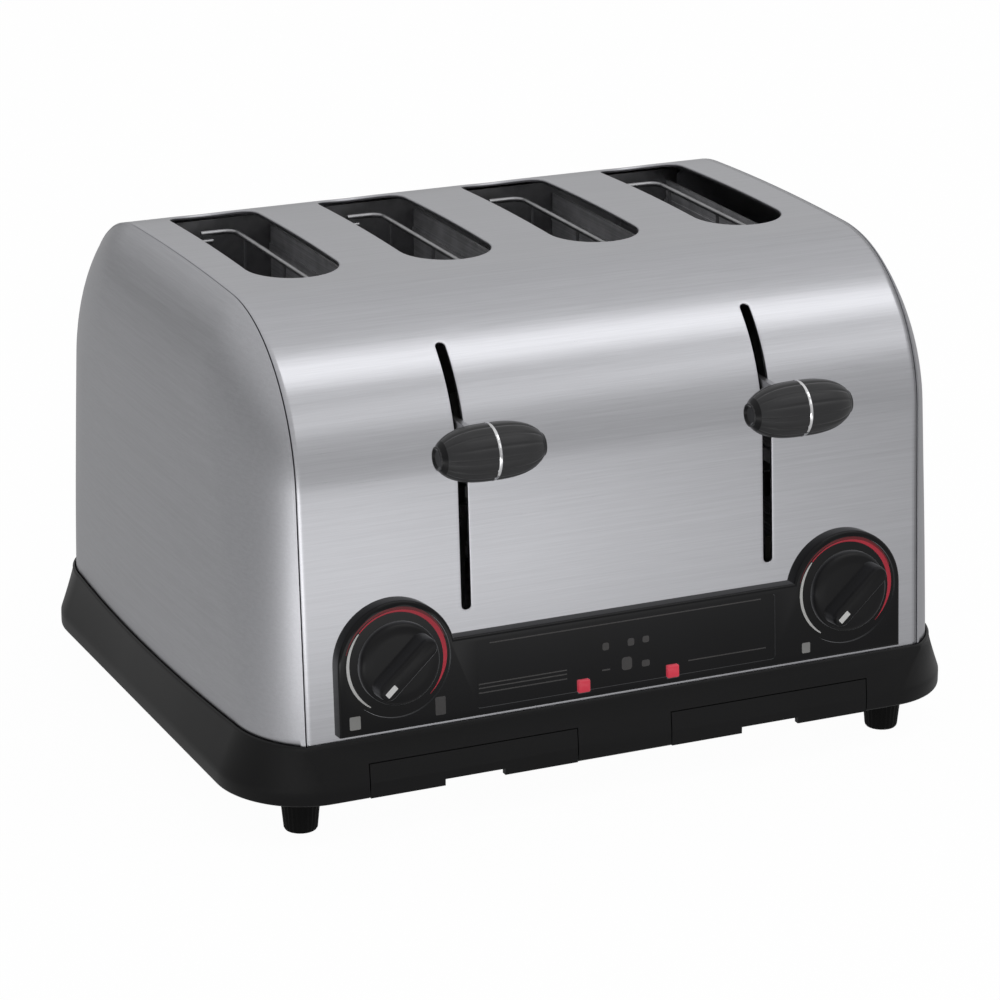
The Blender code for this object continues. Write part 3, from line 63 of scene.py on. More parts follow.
# %% Sizes
BODY_Y = 0.013075
HALF_DEPTH = 0.12425
BODY_HALF_WIDTH = 0.1508
LIP_Z = 0.0412
FOOT_Z = 0.0367
LEAN = math.radians(3.46)
ARCH_START_Z = 0.1389
ARCH_RADIUS = 0.0648
CROWN = math.radians(2.16)
SEAM_X = 0.1314
SEAM_GAP = 0.0004
SHEET = 0.0010
SIDE_BOW = 0.0032
ROLL_FOOT = 0.0330
ROLL_TOP = 0.0610
ROLL_ENTRY = math.radians(28.5)
SPINE_Z = 0.1250
SLOT_PITCH = 0.0645
SLOT_WIDTH = 0.0370
SLOT_FRONT = -0.0461
SLOT_REAR = 0.0740
SLIT_WIDTH = 0.0039
SLIT_BOTTOM = 0.0848
SLIT_TOP = 0.1835
SLOT_CENTRES = SLOT_PITCH * (np.arange(4) - 1.5)
SIDES = (("left", -1), ("right", 1))


# %% [markdown]
# ## Shader maths
# A finish is written as an expression. Each socket is wrapped in a small class, and Python's operators on
# it add Math nodes, so that a mask reads like the sum that it is.

# %% A socket that can be reckoned with
class Shade:
    """One output socket. Python's operators on it add Math nodes to the same tree."""

    def __init__(self, nodes, socket):
        self.nodes = nodes
        self.socket = socket

    def __add__(self, other):
        return self.nodes.math("ADD", self, other)

    def __sub__(self, other):
        return self.nodes.math("SUBTRACT", self, other)

    def __rsub__(self, other):
        return self.nodes.math("SUBTRACT", other, self)

    def __mul__(self, other):
        return self.nodes.math("MULTIPLY", self, other)

    def __truediv__(self, other):
        return self.nodes.math("DIVIDE", self, other)

    def __neg__(self):
        return self.nodes.math("MULTIPLY", self, -1.0)

    __radd__ = __add__
    __rmul__ = __mul__

    def between(self, low, high):
        """0 below low, 1 above high and a smooth step from one to the other."""
        settings = {"interpolation_type": "SMOOTHSTEP"}
        return self.nodes.node("ShaderNodeMapRange", settings, {0: self, 1: low, 2: high})


DIRECTION, OBJECT_PLACE = 0, 3    # outputs of Texture Coordinate: Generated and Object


class Nodes:
    """A node tree and a short way to write what is in it."""

    def __init__(self, tree):
        self.tree = tree

    def plug(self, socket, value):
        if isinstance(value, Shade):
            self.tree.links.new(value.socket, socket)
        else:
            socket.default_value = value

    def node(self, kind, settings=None, inputs=None, output=0):
        """Adds a node, sets it up, fills or links its inputs, and gives one of its outputs."""
        made = self.tree.nodes.new(kind)
        for key, value in (settings or {}).items():
            setattr(made, key, value)
        for key, value in (inputs or {}).items():
            self.plug(made.inputs[key], value)
        return Shade(self, made.outputs[output])

    def math(self, operation, *values):
        return self.node("ShaderNodeMath", {"operation": operation}, dict(enumerate(values)))

    def place(self, scale=(1, 1, 1)):
        """Object coordinates, stretched: a large number packs a pattern closer along that axis."""
        at = self.node("ShaderNodeTexCoord", output=OBJECT_PLACE)
        return self.node("ShaderNodeMapping", None, {"Vector": at, "Scale": scale})

    def node_to_output(self, shader, kind):
        """Ends the tree in an output node of the kind given."""
        self.plug(self.tree.nodes.new(kind).inputs["Surface"], shader)

    def part(self, vector, axis):
        """One of the three numbers of a vector: axis 0, 1 or 2."""
        return self.node("ShaderNodeSeparateXYZ", None, {0: vector}, output=axis)

    def noise(self, scale, stretch=(1, 1, 1), detail=2.0):
        """Soft noise from 0 to 1 with about scale cells to the metre."""
        inputs = {"Vector": self.place(stretch), "Scale": scale, "Detail": detail}
        return self.node("ShaderNodeTexNoise", {"noise_dimensions": "3D"}, inputs)

    def mix(self, factor, first, second):
        """A colour between two, by a factor from 0 to 1."""
        inputs = {0: factor, 6: first, 7: second}
        return self.node("ShaderNodeMix", {"data_type": "RGBA"}, inputs, output=2)

    def ray(self, kind):
        """1 for one kind of ray, named by its place among Light Path's outputs, and 0 for the others."""
        return self.node("ShaderNodeLightPath", output=kind)


class Finish(Nodes):
    """A Principled material, and what varies over it."""

    def __init__(self, name, colour, roughness, metallic=0.0, **sockets):
        self.material = bpy.data.materials.new(name)
        self.material.use_nodes = True
        super().__init__(self.material.node_tree)
        self.shader = self.tree.nodes["Principled BSDF"]
        self.colour = (*colour, 1.0)
        self.feed("Base Color", self.colour)
        self.feed("Roughness", roughness)
        self.feed("Metallic", metallic)
        for socket, value in sockets.items():
            self.feed(socket.replace("_", " "), value)
        self.material.diffuse_color = self.colour

    def feed(self, name, value):
        self.plug(self.shader.inputs[name], value)

    def shades(self, factor, darker, lighter):
        """The finish's own colour, times darker where the factor is 0 and lighter where it is 1."""
        low, high = ((*[min(c * times, 1.0) for c in self.colour[:3]], 1.0) for times in (darker, lighter))
        self.feed("Base Color", self.mix(factor, low, high))

    def bump(self, height, distance, strength=1.0):
        inputs = {"Height": height, "Distance": distance, "Strength": strength}
        self.feed("Normal", self.node("ShaderNodeBump", None, inputs))


# %% [markdown]
# ## Finishes
# The steel is brushed along its length: long thin streaks in its colour, its roughness and its bump. The
# mouldings are black with a fine grain, and the fascia is polished. Wear shows as slow changes in shine.

# %% Steel finishes
def brushed(name, colour, along, roughness=0.30):
    """Steel with streaks: noise that is drawn out a hundred times along one axis."""
    finish = Finish(name, colour, roughness, metallic=1.0)
    stretch = [1.0, 1.0, 1.0]
    stretch[along] = 0.012
    fine = finish.noise(5200, stretch, 3.0)
    broad = finish.noise(900, stretch, 2.0)
    cloud = finish.noise(9, detail=3.0)
    streaks = fine * 0.6 + broad * 0.4
    finish.shades(streaks.between(0.30, 0.70), 0.93, 1.06)
    finish.feed("Roughness", streaks * 0.10 + cloud * 0.06 + (roughness - 0.08))
    finish.bump(streaks, 0.00002, 0.35)
    return finish.material


def plain_steel(name, colour, roughness):
    """Plated sheet inside the toaster: a faint mottle and a few rubbed places."""
    finish = Finish(name, colour, roughness, metallic=1.0)
    mottle = finish.noise(160, detail=4.0)
    finish.shades(mottle.between(0.35, 0.65), 0.88, 1.05)
    finish.feed("Roughness", finish.noise(40, detail=3.0) * 0.16 + (roughness - 0.08))
    finish.bump(mottle, 0.00003, 0.4)
    return finish.material


STEEL = (0.498, 0.501, 0.526)
shell_steel = brushed("shell_steel", STEEL, 0)
end_steel = brushed("end_steel", STEEL, 1, roughness=0.34)
zinc = plain_steel("zinc_plate", (0.40, 0.40, 0.41), 0.38)
wire_steel = plain_steel("wire_steel", (0.36, 0.36, 0.37), 0.36)
chrome = plain_steel("bright_plate", (0.78, 0.78, 0.79), 0.12)


# %% Moulded finishes
def moulded(name, colour, roughness, grain=2600, depth=0.00002, **sockets):
    """Moulding with a fine even grain, slightly worn smooth in places."""
    finish = Finish(name, colour, roughness, **sockets)
    texture = finish.noise(grain, detail=2.0)
    wear = finish.noise(22, detail=3.0)
    finish.shades(wear.between(0.30, 0.70), 0.85, 1.15)
    finish.feed("Roughness", wear * 0.12 + (roughness - 0.06))
    finish.bump(texture, depth, 0.5)
    return finish.material


base_black = moulded("base_moulding", (0.0055, 0.0055, 0.0060), 0.40, Specular_IOR_Level=0.22)
gloss_black = moulded("fascia_gloss", (0.004, 0.004, 0.005), 0.13, grain=400, depth=0.000004,
                      Specular_IOR_Level=0.20)
dial_black = moulded("dial_gloss", (0.006, 0.006, 0.007), 0.30, grain=900, depth=0.000006,
                     Specular_IOR_Level=0.22)
grip_grey = moulded("grip_moulding", (0.046, 0.046, 0.048), 0.34, Specular_IOR_Level=0.22)
foot_rubber = moulded("foot_rubber", (0.005, 0.005, 0.005), 0.60, depth=0.00004, Specular_IOR_Level=0.12)
casing = moulded("control_casing", (0.52, 0.50, 0.44), 0.50)
board_green = moulded("board_green", (0.03, 0.12, 0.06), 0.35)
white_print = moulded("white_print", (0.95, 0.95, 0.92), 0.40)
grey_print = moulded("grey_print", (0.36, 0.36, 0.35), 0.45)
dim_print = moulded("dim_print", (0.055, 0.052, 0.052), 0.45)
red_print = moulded("red_print", (0.74, 0.030, 0.065), 0.40)
deep_print = moulded("deep_red_print", (0.240, 0.006, 0.014), 0.40)
lamp_red = moulded("lamp_red", (0.50, 0.020, 0.045), 0.20, Emission_Color=(1.0, 0.06, 0.11, 1.0),
                   Emission_Strength=0.26)


# %% Element finish
def ribbon_board(name):
    """Grey mica board under ribbon windings: darker and lighter lines along the card."""
    finish = Finish(name, (0.44, 0.44, 0.46), 0.50)
    flakes = finish.noise(120, detail=3.0)
    lines = finish.noise(1500, (1.0, 0.01, 1.0), 1.0)
    finish.shades((flakes * 0.5 + lines * 0.5).between(0.35, 0.65), 0.72, 1.12)
    finish.bump(lines, 0.0001, 0.5)
    return finish.material


mica = ribbon_board("mica_board")


# %% [markdown]
# ## Surfaces from numbers
# A surface is a grid of points worked out as whole arrays. Several grids can make one piece: their shared
# edges are merged, and the faces are turned outwards together.

# %% From arrays to a piece
def quads(rows, columns, wrap_rows=False, wrap_columns=False):
    """The four corner numbers of each face of a grid, rows by columns, which may close on itself."""
    r = np.arange(rows if wrap_rows else rows - 1)[:, None]
    c = np.arange(columns if wrap_columns else columns - 1)[None, :]
    next_r = (r + 1) % rows
    next_c = (c + 1) % columns
    corners = (r * columns + c, r * columns + next_c, next_r * columns + next_c, next_r * columns + c)
    return np.stack(corners, -1).reshape(-1, 4)


class Patch:
    """A grid of points with the faces between them."""

    def __init__(self, points, wrap_rows=False, wrap_columns=False):
        points = np.asarray(points, float)
        self.faces = quads(points.shape[0], points.shape[1], wrap_rows, wrap_columns)
        self.points = points.reshape(-1, 3)


def cap(ring):
    """A fan of faces from a ring of points to its middle."""
    ring = np.asarray(ring, float)
    middle = np.broadcast_to(ring.mean(0), ring.shape)
    return Patch(np.stack([ring, middle]), wrap_columns=True)


SOFT_EDGE, FLAT_EDGE = math.radians(40), math.radians(35)


def put(name, data):
    """Links a new object with this data into the scene."""
    made = bpy.data.objects.new(name, data)
    bpy.context.scene.collection.objects.link(made)
    return made


def smooth_by_angle(mesh, angle):
    mesh.shade_smooth()
    mesh.set_sharp_from_angle(angle=angle)


def finished(name, mesh, material, body, replaces, angle):
    """Makes a mesh a piece: its finish, the body it rides on and the CAD nodes it stands for."""
    smooth_by_angle(mesh, angle)
    mesh.materials.append(material)
    piece = put(name, mesh)
    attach(piece, body)
    if replaces:
        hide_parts(*replaces)
    return piece


def joined(name, patches, closed=True):
    """One mesh from patches, with their shared edges merged and the faces turned outwards."""
    starts = np.cumsum([0] + [len(patch.points) for patch in patches])
    points = np.concatenate([patch.points for patch in patches])
    faces = np.concatenate([patch.faces + start for patch, start in zip(patches, starts)])
    mesh = bpy.data.meshes.new(name)
    mesh.vertices.add(len(points))
    mesh.vertices.foreach_set("co", points.ravel())
    mesh.loops.add(faces.size)
    mesh.loops.foreach_set("vertex_index", faces.ravel())
    mesh.polygons.add(len(faces))
    mesh.polygons.foreach_set("loop_start", np.arange(0, faces.size, 4))
    mesh.update(calc_edges=True)
    work = bmesh.new()
    work.from_mesh(mesh)
    bmesh.ops.remove_doubles(work, verts=work.verts, dist=2e-6)
    bmesh.ops.dissolve_degenerate(work, edges=work.edges, dist=1e-7)
    bmesh.ops.recalc_face_normals(work, faces=work.faces)
    if closed and work.calc_volume(signed=True) < 0:
        bmesh.ops.reverse_faces(work, faces=work.faces)
    work.to_mesh(mesh)
    work.free()
    return mesh


def make_piece(name, patches, material, body, replaces=(), closed=True):
    return finished(name, joined(name, patches, closed), material, body, replaces, SOFT_EDGE)


def unmirrored(piece):
    """Keeps a piece out of the steel's blurred reflections, and gives it back."""
    piece.visible_glossy = False
    return piece


def settle(piece):
    """Applies a piece's modifiers to its mesh."""
    bpy.context.view_layer.update()
    evaluated = piece.evaluated_get(bpy.context.evaluated_depsgraph_get())
    done = bpy.data.meshes.new_from_object(evaluated)
    piece.modifiers.clear()
    old = piece.data
    piece.data = done
    bpy.data.meshes.remove(old)
    piece.data.name = piece.name


def thicken(piece, wall=SHEET):
    """Gives a sheet its wall, inwards."""
    solid = piece.modifiers.new("wall", "SOLIDIFY")
    solid.thickness = wall
    solid.offset = -1
    settle(piece)


def carve(piece, cutters):
    """Cuts solids out of a piece, with an exact Boolean for each, and smooths what is left by angle."""
    tools = [put("cutter", joined("cutter", patches)) for patches in cutters]
    for tool in tools:
        boolean = piece.modifiers.new("cut", "BOOLEAN")
        boolean.operation = "DIFFERENCE"
        boolean.object = tool
    settle(piece)
    for tool in tools:
        bpy.data.objects.remove(tool, do_unlink=True)
    smooth_by_angle(piece.data, FLAT_EDGE)


# %% Frames and simple solids
def in_frame(points, place):
    """Points given as across, up and out, put into a frame."""
    turn = np.array(place.to_3x3())
    return np.asarray(points, float) @ turn.T + np.array(place.translation)


def frame_of(axes, origin):
    """A place with the three axes and the origin given."""
    place = Matrix.Identity(4)
    for column, axis in enumerate(axes):
        place.col[column] = (*axis, 0)
    place.translation = origin
    return place


def front_frame(x=0.0, v=0.0, side=-1):
    """Axes of the leaning front (side -1) or back (side 1): across, up the face, and out of it."""
    across = Vector((-side, 0, 0))
    up = Vector((0, -side * math.sin(LEAN), math.cos(LEAN)))
    out = Vector((0, side * math.cos(LEAN), math.sin(LEAN)))
    return frame_of((across, up, out), Vector((0, side * HALF_DEPTH + BODY_Y, LIP_Z)) + across * x + up * v)


def stack(rings, place=None):
    """A closed solid from equal rings of points: walls between them and a cap at each end."""
    rings = np.asarray(rings, float)
    if place is not None:
        rings = in_frame(rings, place)
    return [Patch(rings, wrap_columns=True), cap(rings[0]), cap(rings[-1])]


def turned(section, sides, place, closed_section=False):
    """A section of (radius, height) pairs carried round the third axis."""
    section = np.asarray(section, float)
    angle = np.linspace(0, 2 * np.pi, sides, endpoint=False)
    radius, height = section[:, :1], section[:, 1:]
    rings = np.stack([radius * np.cos(angle), radius * np.sin(angle), height + 0 * angle], -1)
    if closed_section:
        return [Patch(in_frame(rings, place), wrap_rows=True, wrap_columns=True)]
    return stack(rings, place)


def level(outline, height):
    """A flat outline of pairs, given one height."""
    return np.column_stack([outline, np.full(len(outline), height)])


def lifted(outline, heights):
    """The same flat outline at several heights."""
    return [level(outline, height) for height in heights]


def block(low, high):
    """A box between two corners."""
    x = [low[0], high[0], high[0], low[0]]
    y = [low[1], low[1], high[1], high[1]]
    return stack(lifted(np.column_stack([x, y]), (low[2], high[2])))


def rounded_box(low, high, radius, steps=4):
    """A flat rectangle with quarter circles at its corners."""
    turn = np.linspace(0, np.pi / 2, steps + 1)
    parts = []
    corners = ((high[0] - radius, high[1] - radius), (low[0] + radius, high[1] - radius),
               (low[0] + radius, low[1] + radius), (high[0] - radius, low[1] + radius))
    for quarter, (x, y) in enumerate(corners):
        angle = turn + quarter * np.pi / 2
        parts.append(np.column_stack([x + radius * np.cos(angle), y + radius * np.sin(angle)]))
    return np.concatenate(parts)


def wire(points, radius, sides=8):
    """A round wire along a path: a circle is carried along it without twist, and its ends are closed."""
    path = np.asarray(points, float)
    runs = np.diff(path, axis=0)
    runs /= np.linalg.norm(runs, axis=1)[:, None]
    along = np.concatenate([runs[:1], runs[:-1] + runs[1:], runs[-1:]])
    along /= np.linalg.norm(along, axis=1)[:, None]
    normal = np.cross(along[0], (0.31, 0.17, 0.93))
    angle = np.linspace(0, 2 * np.pi, sides, endpoint=False)
    rings = []
    for point, direction in zip(path, along):
        normal = normal - direction * normal.dot(direction)
        normal /= np.linalg.norm(normal)
        side = np.cross(direction, normal)
        rings.append(point + radius * (np.outer(np.cos(angle), normal) + np.outer(np.sin(angle), side)))
    return stack(rings)


# %% [markdown]
# ## The arched shell
# The real one is a single sheet of steel, pressed with four round-ended slots whose edges are rolled down,
# and two slits for the levers. It is drawn flat first: x across and s along the sheet. Round each slot lies
# a net of rings that pass from the slot's outline to a rectangle of the plain grid, so that no Boolean
# spoils the shine. The flat net is then bent over the arch by one formula.

# %% The arch formula
STRAIGHT = (ARCH_START_Z - FOOT_Z) / math.cos(LEAN)
ARC = ARCH_RADIUS * (math.pi / 2 - CROWN - LEAN)
ARC_Y = -HALF_DEPTH + (ARCH_START_Z - LIP_Z) * math.tan(LEAN) + ARCH_RADIUS * math.cos(LEAN)
ARC_Z = ARCH_START_Z - ARCH_RADIUS * math.sin(LEAN)
CROWN_Y = ARC_Y - ARCH_RADIUS * math.sin(CROWN)
CROWN_Z = ARC_Z + ARCH_RADIUS * math.cos(CROWN)
CROWN_RADIUS = -CROWN_Y / math.sin(CROWN)
HALF_LENGTH = STRAIGHT + ARC + CROWN_RADIUS * CROWN


def arch(s, inset=0.0):
    """(y, z) at a length s along the sheet from its front foot, moved inwards square to it by inset.

    The tilt of the sheet is constant on the straight, grows with length over radius on the arc, and grows
    slowly on the crown. The back half mirrors the front half.
    """
    s, inset = np.broadcast_arrays(np.asarray(s, float), np.asarray(inset, float))
    back = s > HALF_LENGTH
    along = np.where(back, 2 * HALF_LENGTH - s, s)
    on_arc = np.clip((along - STRAIGHT) / ARCH_RADIUS, 0, ARC / ARCH_RADIUS)
    on_crown = np.clip((along - STRAIGHT - ARC) / CROWN_RADIUS, 0, CROWN)
    tilt = LEAN + on_arc + on_crown
    foot_y = -HALF_DEPTH - (LIP_Z - FOOT_Z) * math.tan(LEAN)
    straight = np.minimum(along, STRAIGHT)
    y_low = foot_y + straight * math.sin(LEAN)
    z_low = FOOT_Z + straight * math.cos(LEAN)
    y_arc = ARC_Y - ARCH_RADIUS * np.cos(LEAN + on_arc)
    z_arc = ARC_Z + ARCH_RADIUS * np.sin(LEAN + on_arc)
    y_crown = -CROWN_RADIUS * np.cos(tilt)
    z_crown = CROWN_Z - CROWN_RADIUS * math.cos(CROWN) + CROWN_RADIUS * np.sin(tilt)
    y = np.where(on_crown > 0, y_crown, np.where(on_arc > 0, y_arc, y_low))
    z = np.where(on_crown > 0, z_crown, np.where(on_arc > 0, z_arc, z_low))
    y = y + inset * np.cos(tilt)
    z = z - inset * np.sin(tilt)
    return np.where(back, -y, y), z


def arch_length(want, index):
    """The length s at which y (index 0) or z (index 1) has a value, on the front half or the crown."""
    s = np.linspace(0, HALF_LENGTH * (1 if index else 2), 20001)
    return float(s[np.argmin(np.abs(arch(s)[index] - want))])


def bend(x, s, inset=0.0):
    """Points of the flat sheet put in their place on the arch."""
    y, z = arch(s, inset)
    x, y, z = np.broadcast_arrays(x, y, z)
    return np.stack([x, y + BODY_Y, z], -1)


# %% The net of the sheet
COLUMN = SLOT_PITCH / 12
EDGE_X = SEAM_X - SEAM_GAP / 2
LINES_X = np.concatenate([[-EDGE_X], COLUMN * np.arange(-24, 25), [EDGE_X]])
slit_low, slit_high = arch_length(SLIT_BOTTOM, 1), arch_length(SLIT_TOP, 1)
slot_low, slot_high = arch_length(SLOT_FRONT, 0), arch_length(SLOT_REAR, 0)
MARGIN, ROW = 0.0080, 0.0042
stops = [0.0, slit_low - MARGIN, slit_high + MARGIN, slot_low - MARGIN, slot_high + MARGIN, 2 * HALF_LENGTH]
parts = []
for low, high in zip(stops, stops[1:]):
    count = max(2, round((high - low) / ROW))
    parts.append(np.linspace(low, high, count + 1)[:-1])
LINES_S = np.concatenate([*parts, [2 * HALF_LENGTH]])


def hole_net(x0, x1, s0, s1, centre, radius, reach, roll, depth, rings):
    """Rings from a rectangle of the grid in to a round-ended hole, over its rolled edge and down inside.

    Each point of the rectangle is joined to the nearest place on the hole's middle line, and its rings lie
    on that line, so that the rings are even along the sides and fan out round the ends.
    """
    xs = LINES_X[(LINES_X > x0 - 1e-9) & (LINES_X < x1 + 1e-9)]
    ss = LINES_S[(LINES_S > s0 - 1e-9) & (LINES_S < s1 + 1e-9)]
    bottom = np.column_stack([xs, np.full(len(xs), s0)])
    right = np.column_stack([np.full(len(ss), x1), ss])
    border = np.concatenate([bottom[:-1], right[:-1],
                             np.column_stack([xs[::-1], np.full(len(xs), s1)])[:-1],
                             np.column_stack([np.full(len(ss), x0), ss[::-1]])[:-1]])
    nearest = np.clip(border[:, 1], centre[1] - reach, centre[1] + reach)
    middle = np.column_stack([np.full(len(border), centre[0]), nearest])
    ray = border - middle
    length = np.linalg.norm(ray, axis=1)[:, None]
    ray = ray / length
    share = np.linspace(0, 1, rings + 1) ** 0.75
    plan = [border + (middle + ray * (radius + roll) - border) * w for w in share]
    inset = [0.0 for _ in share]
    for turn in np.linspace(0, np.pi / 2, 6)[1:]:
        plan.append(middle + ray * (radius + roll - roll * np.sin(turn)))
        inset.append(roll * (1 - np.cos(turn)))
    plan.append(middle + ray * radius)
    inset.append(depth)
    plan = np.stack(plan)
    inset = np.array(inset)[:, None]
    return Patch(bend(plan[..., 0], plan[..., 1], inset), wrap_columns=True)


# %% Bend the sheet over the arch
def round_ended(centre, cells, rows, ends, width, *edge):
    """What hole_net needs for a hole of one width, whose rectangle has whole cells on either side."""
    return (centre - cells * COLUMN, centre + cells * COLUMN, *rows, (centre, (ends[0] + ends[1]) / 2),
            width / 2, (ends[1] - ends[0]) / 2 - width / 2, *edge)


holes = [round_ended(centre, 6, stops[3:5], (slot_low, slot_high), SLOT_WIDTH, 0.0008, 0.0018, 8)
         for centre in SLOT_CENTRES]
holes += [round_ended(side * SLOT_PITCH, 2, stops[1:3], (slit_low, slit_high), SLIT_WIDTH, 0.0004, 0.0014, 6)
          for _, side in SIDES]
GLAND_X, GLAND_V, GLAND_NECK = 0.0950, 0.0200, 0.0062
gland_s = 2 * HALF_LENGTH - arch_length(LIP_Z + GLAND_V * math.cos(LEAN), 1)
holes.append((16 * COLUMN, 20 * COLUMN, LINES_S[LINES_S < gland_s - 0.009].max(),
              LINES_S[LINES_S > gland_s + 0.009].min(), (GLAND_X, gland_s), GLAND_NECK, 0.0,
              0.0002, 0.0008, 5))

sheet = Patch(bend(LINES_X[None, :], LINES_S[:, None]))
mid_x = (LINES_X[:-1] + LINES_X[1:]) / 2
mid_s = (LINES_S[:-1] + LINES_S[1:]) / 2
keep = np.ones((len(mid_s), len(mid_x)), bool)
for x0, x1, s0, s1, *_ in holes:
    keep &= ~(((mid_x > x0) & (mid_x < x1))[None, :] & ((mid_s > s0) & (mid_s < s1))[:, None])
sheet.faces = sheet.faces[keep.ravel()]
shell = make_piece("arched_shell", [sheet] + [hole_net(*hole) for hole in holes], shell_steel, "body",
                   ["wrapper"], closed=False)


def face_out(piece, middle):
    """Turns an open sheet so that its largest faces look away from a point inside it."""
    normals = np.array([p.normal[:] for p in piece.data.polygons])
    centres = np.array([p.center[:] for p in piece.data.polygons])
    areas = np.array([p.area for p in piece.data.polygons])
    outward = ((centres - np.array(middle)) * normals).sum(1) * areas
    if outward.sum() < 0:
        piece.data.flip_normals()


INSIDE = (0.0, BODY_Y, 0.11)
face_out(shell, INSIDE)
thicken(shell)
print("arched shell", len(shell.data.polygons), "faces")


# %% [markdown]
# ## The end panels
# Each end is a dished pressing. Its edge meets the shell in a fine seam, rolls over through a quarter turn
# and runs out to a side that bows by a couple of millimetres. The roll is tight at the foot and generous
# over the arch, so its depth grows along the edge.

# %% The dished ends
def smooth(share):
    return share * share * (3 - 2 * share)


def side_x(y):
    """Half the width of the body at a place between front and back: a parabola."""
    edge = HALF_DEPTH - ROLL_FOOT
    return BODY_HALF_WIDTH - SIDE_BOW * np.minimum((y / edge) ** 2, 1)


def end_panel(name, side):
    """Rings from the seam over the roll to the side, then rows that close on an upright middle line."""
    s = np.concatenate([np.linspace(0, STRAIGHT, 15)[:-1], np.linspace(STRAIGHT, STRAIGHT + ARC, 29)[:-1],
                        np.linspace(STRAIGHT + ARC, HALF_LENGTH, 9)])
    s = np.concatenate([s, (2 * HALF_LENGTH - s[::-1])[1:]])
    share = np.minimum(s, 2 * HALF_LENGTH - s) / HALF_LENGTH
    roll = ROLL_FOOT + (ROLL_TOP - ROLL_FOOT) * smooth(share)
    start = SEAM_X + SEAM_GAP / 2
    rows = []

    def row(x_of_y, inset):
        y, z = arch(s, inset)
        z = np.where((s <= 1e-9) | (s >= 2 * HALF_LENGTH - 1e-9), FOOT_Z, z)
        rows.append(np.stack([x_of_y(y) + 0 * y, y, z], -1))

    row(lambda y: start, np.full(len(s), 0.0014))
    row(lambda y: start, np.full(len(s), 0.0003))
    for turn in np.linspace(ROLL_ENTRY, np.pi / 2, 17):
        rise = (math.sin(turn) - math.sin(ROLL_ENTRY)) / (1 - math.sin(ROLL_ENTRY))
        depth = roll * (math.cos(ROLL_ENTRY) - math.cos(turn)) / math.cos(ROLL_ENTRY)
        row(lambda y, rise=rise: start + 0.0002 * (1 - rise) + (side_x(y) - start) * rise, depth)
    last = rows[-1]
    spine = FOOT_Z + share * (SPINE_Z - FOOT_Z)
    for inward in np.linspace(0, 1, 13)[1:]:
        y = last[:, 1] * (1 - inward)
        rows.append(np.stack([side_x(y), y, last[:, 2] + (spine - last[:, 2]) * inward], -1))
    points = np.stack(rows) * (side, 1, 1) + (0, BODY_Y, 0)
    panel = make_piece(name, [Patch(points)], end_steel, "body",
                       [name.replace("shell", "panel")], closed=False)
    face_out(panel, INSIDE)
    thicken(panel)
    print(name, len(panel.data.polygons), "faces")


for label, side in SIDES:
    end_panel(f"{label}_end_shell", side)


# %% [markdown]
# ## The base
# The base is one black moulding that follows the plan of the body: bowed sides and corners that are
# quarter ellipses. Its section, a flared wall with a lip and a shelf, is carried round that plan.

# %% The moulded base
LIP_FIT, LIP_WIDTH = 0.0006, 0.0010
LIP_REACH = LIP_FIT + LIP_WIDTH
BASE_HALF_X, BASE_HALF_Y = 0.1555, 0.12775
CORNER_X, CORNER_Y = 0.0334, 0.0370
BASE_Z = 0.0172
BAND = 0.0060
ROLL_EDGE_Y = HALF_DEPTH - ROLL_FOOT
CORNER_STEPS, SIDE_STEPS = 24, 8


def mirrored(quarter):
    """A whole outline from the quarter with x and y above 0, which starts on the X axis."""
    rear = np.concatenate([quarter, quarter[::-1] * (-1, 1)])
    return np.concatenate([rear, (rear * (1, -1))[::-1][1:-1]])


def body_plan(outset):
    """The body from above, moved outwards square to itself: a parabola, then the rolled corner.

    The corner is the part of an ellipse between its side and the slope at which the roll begins.
    """
    start_x = SEAM_X + SEAM_GAP / 2
    low = math.sin(ROLL_ENTRY)
    width = (BODY_HALF_WIDTH - SIDE_BOW - start_x) / (1 - low)
    depth = ROLL_FOOT / math.cos(ROLL_ENTRY)
    y = np.linspace(0, ROLL_EDGE_Y, SIDE_STEPS + 1)[:-1]
    flat = np.column_stack([side_x(y) + outset, y])
    turn = np.linspace(np.pi / 2, ROLL_ENTRY, CORNER_STEPS + 1)
    normal = np.column_stack([np.sin(turn) / width, np.cos(turn) / depth])
    normal /= np.linalg.norm(normal, axis=1)[:, None]
    corner = np.column_stack([start_x + width * (np.sin(turn) - low), ROLL_EDGE_Y + depth * np.cos(turn)])
    corner = corner + outset * normal
    corner[-1] = (start_x + outset * normal[-1, 0] / (1 + normal[-1, 1]), HALF_DEPTH + outset)
    return mirrored(np.concatenate([flat, corner]))


def base_plan(inset):
    """The widest line of the base moved inwards: straight sides and quarter ellipses."""
    width, depth = CORNER_X - inset, CORNER_Y - inset
    y = np.linspace(0, BASE_HALF_Y - CORNER_Y, SIDE_STEPS + 1)[:-1]
    flat = np.column_stack([np.full(len(y), BASE_HALF_X - inset), y])
    turn = np.linspace(0, np.pi / 2, CORNER_STEPS + 1)
    corner = np.column_stack([BASE_HALF_X - CORNER_X + width * np.cos(turn),
                              BASE_HALF_Y - CORNER_Y + depth * np.sin(turn)])
    return mirrored(np.concatenate([flat, corner]))


def quarter_round(centre, radius, start, end, steps=4):
    turn = np.radians(np.linspace(start, end, steps + 1))
    return [(centre[0] + radius * math.cos(a), centre[1] + radius * math.sin(a)) for a in turn]


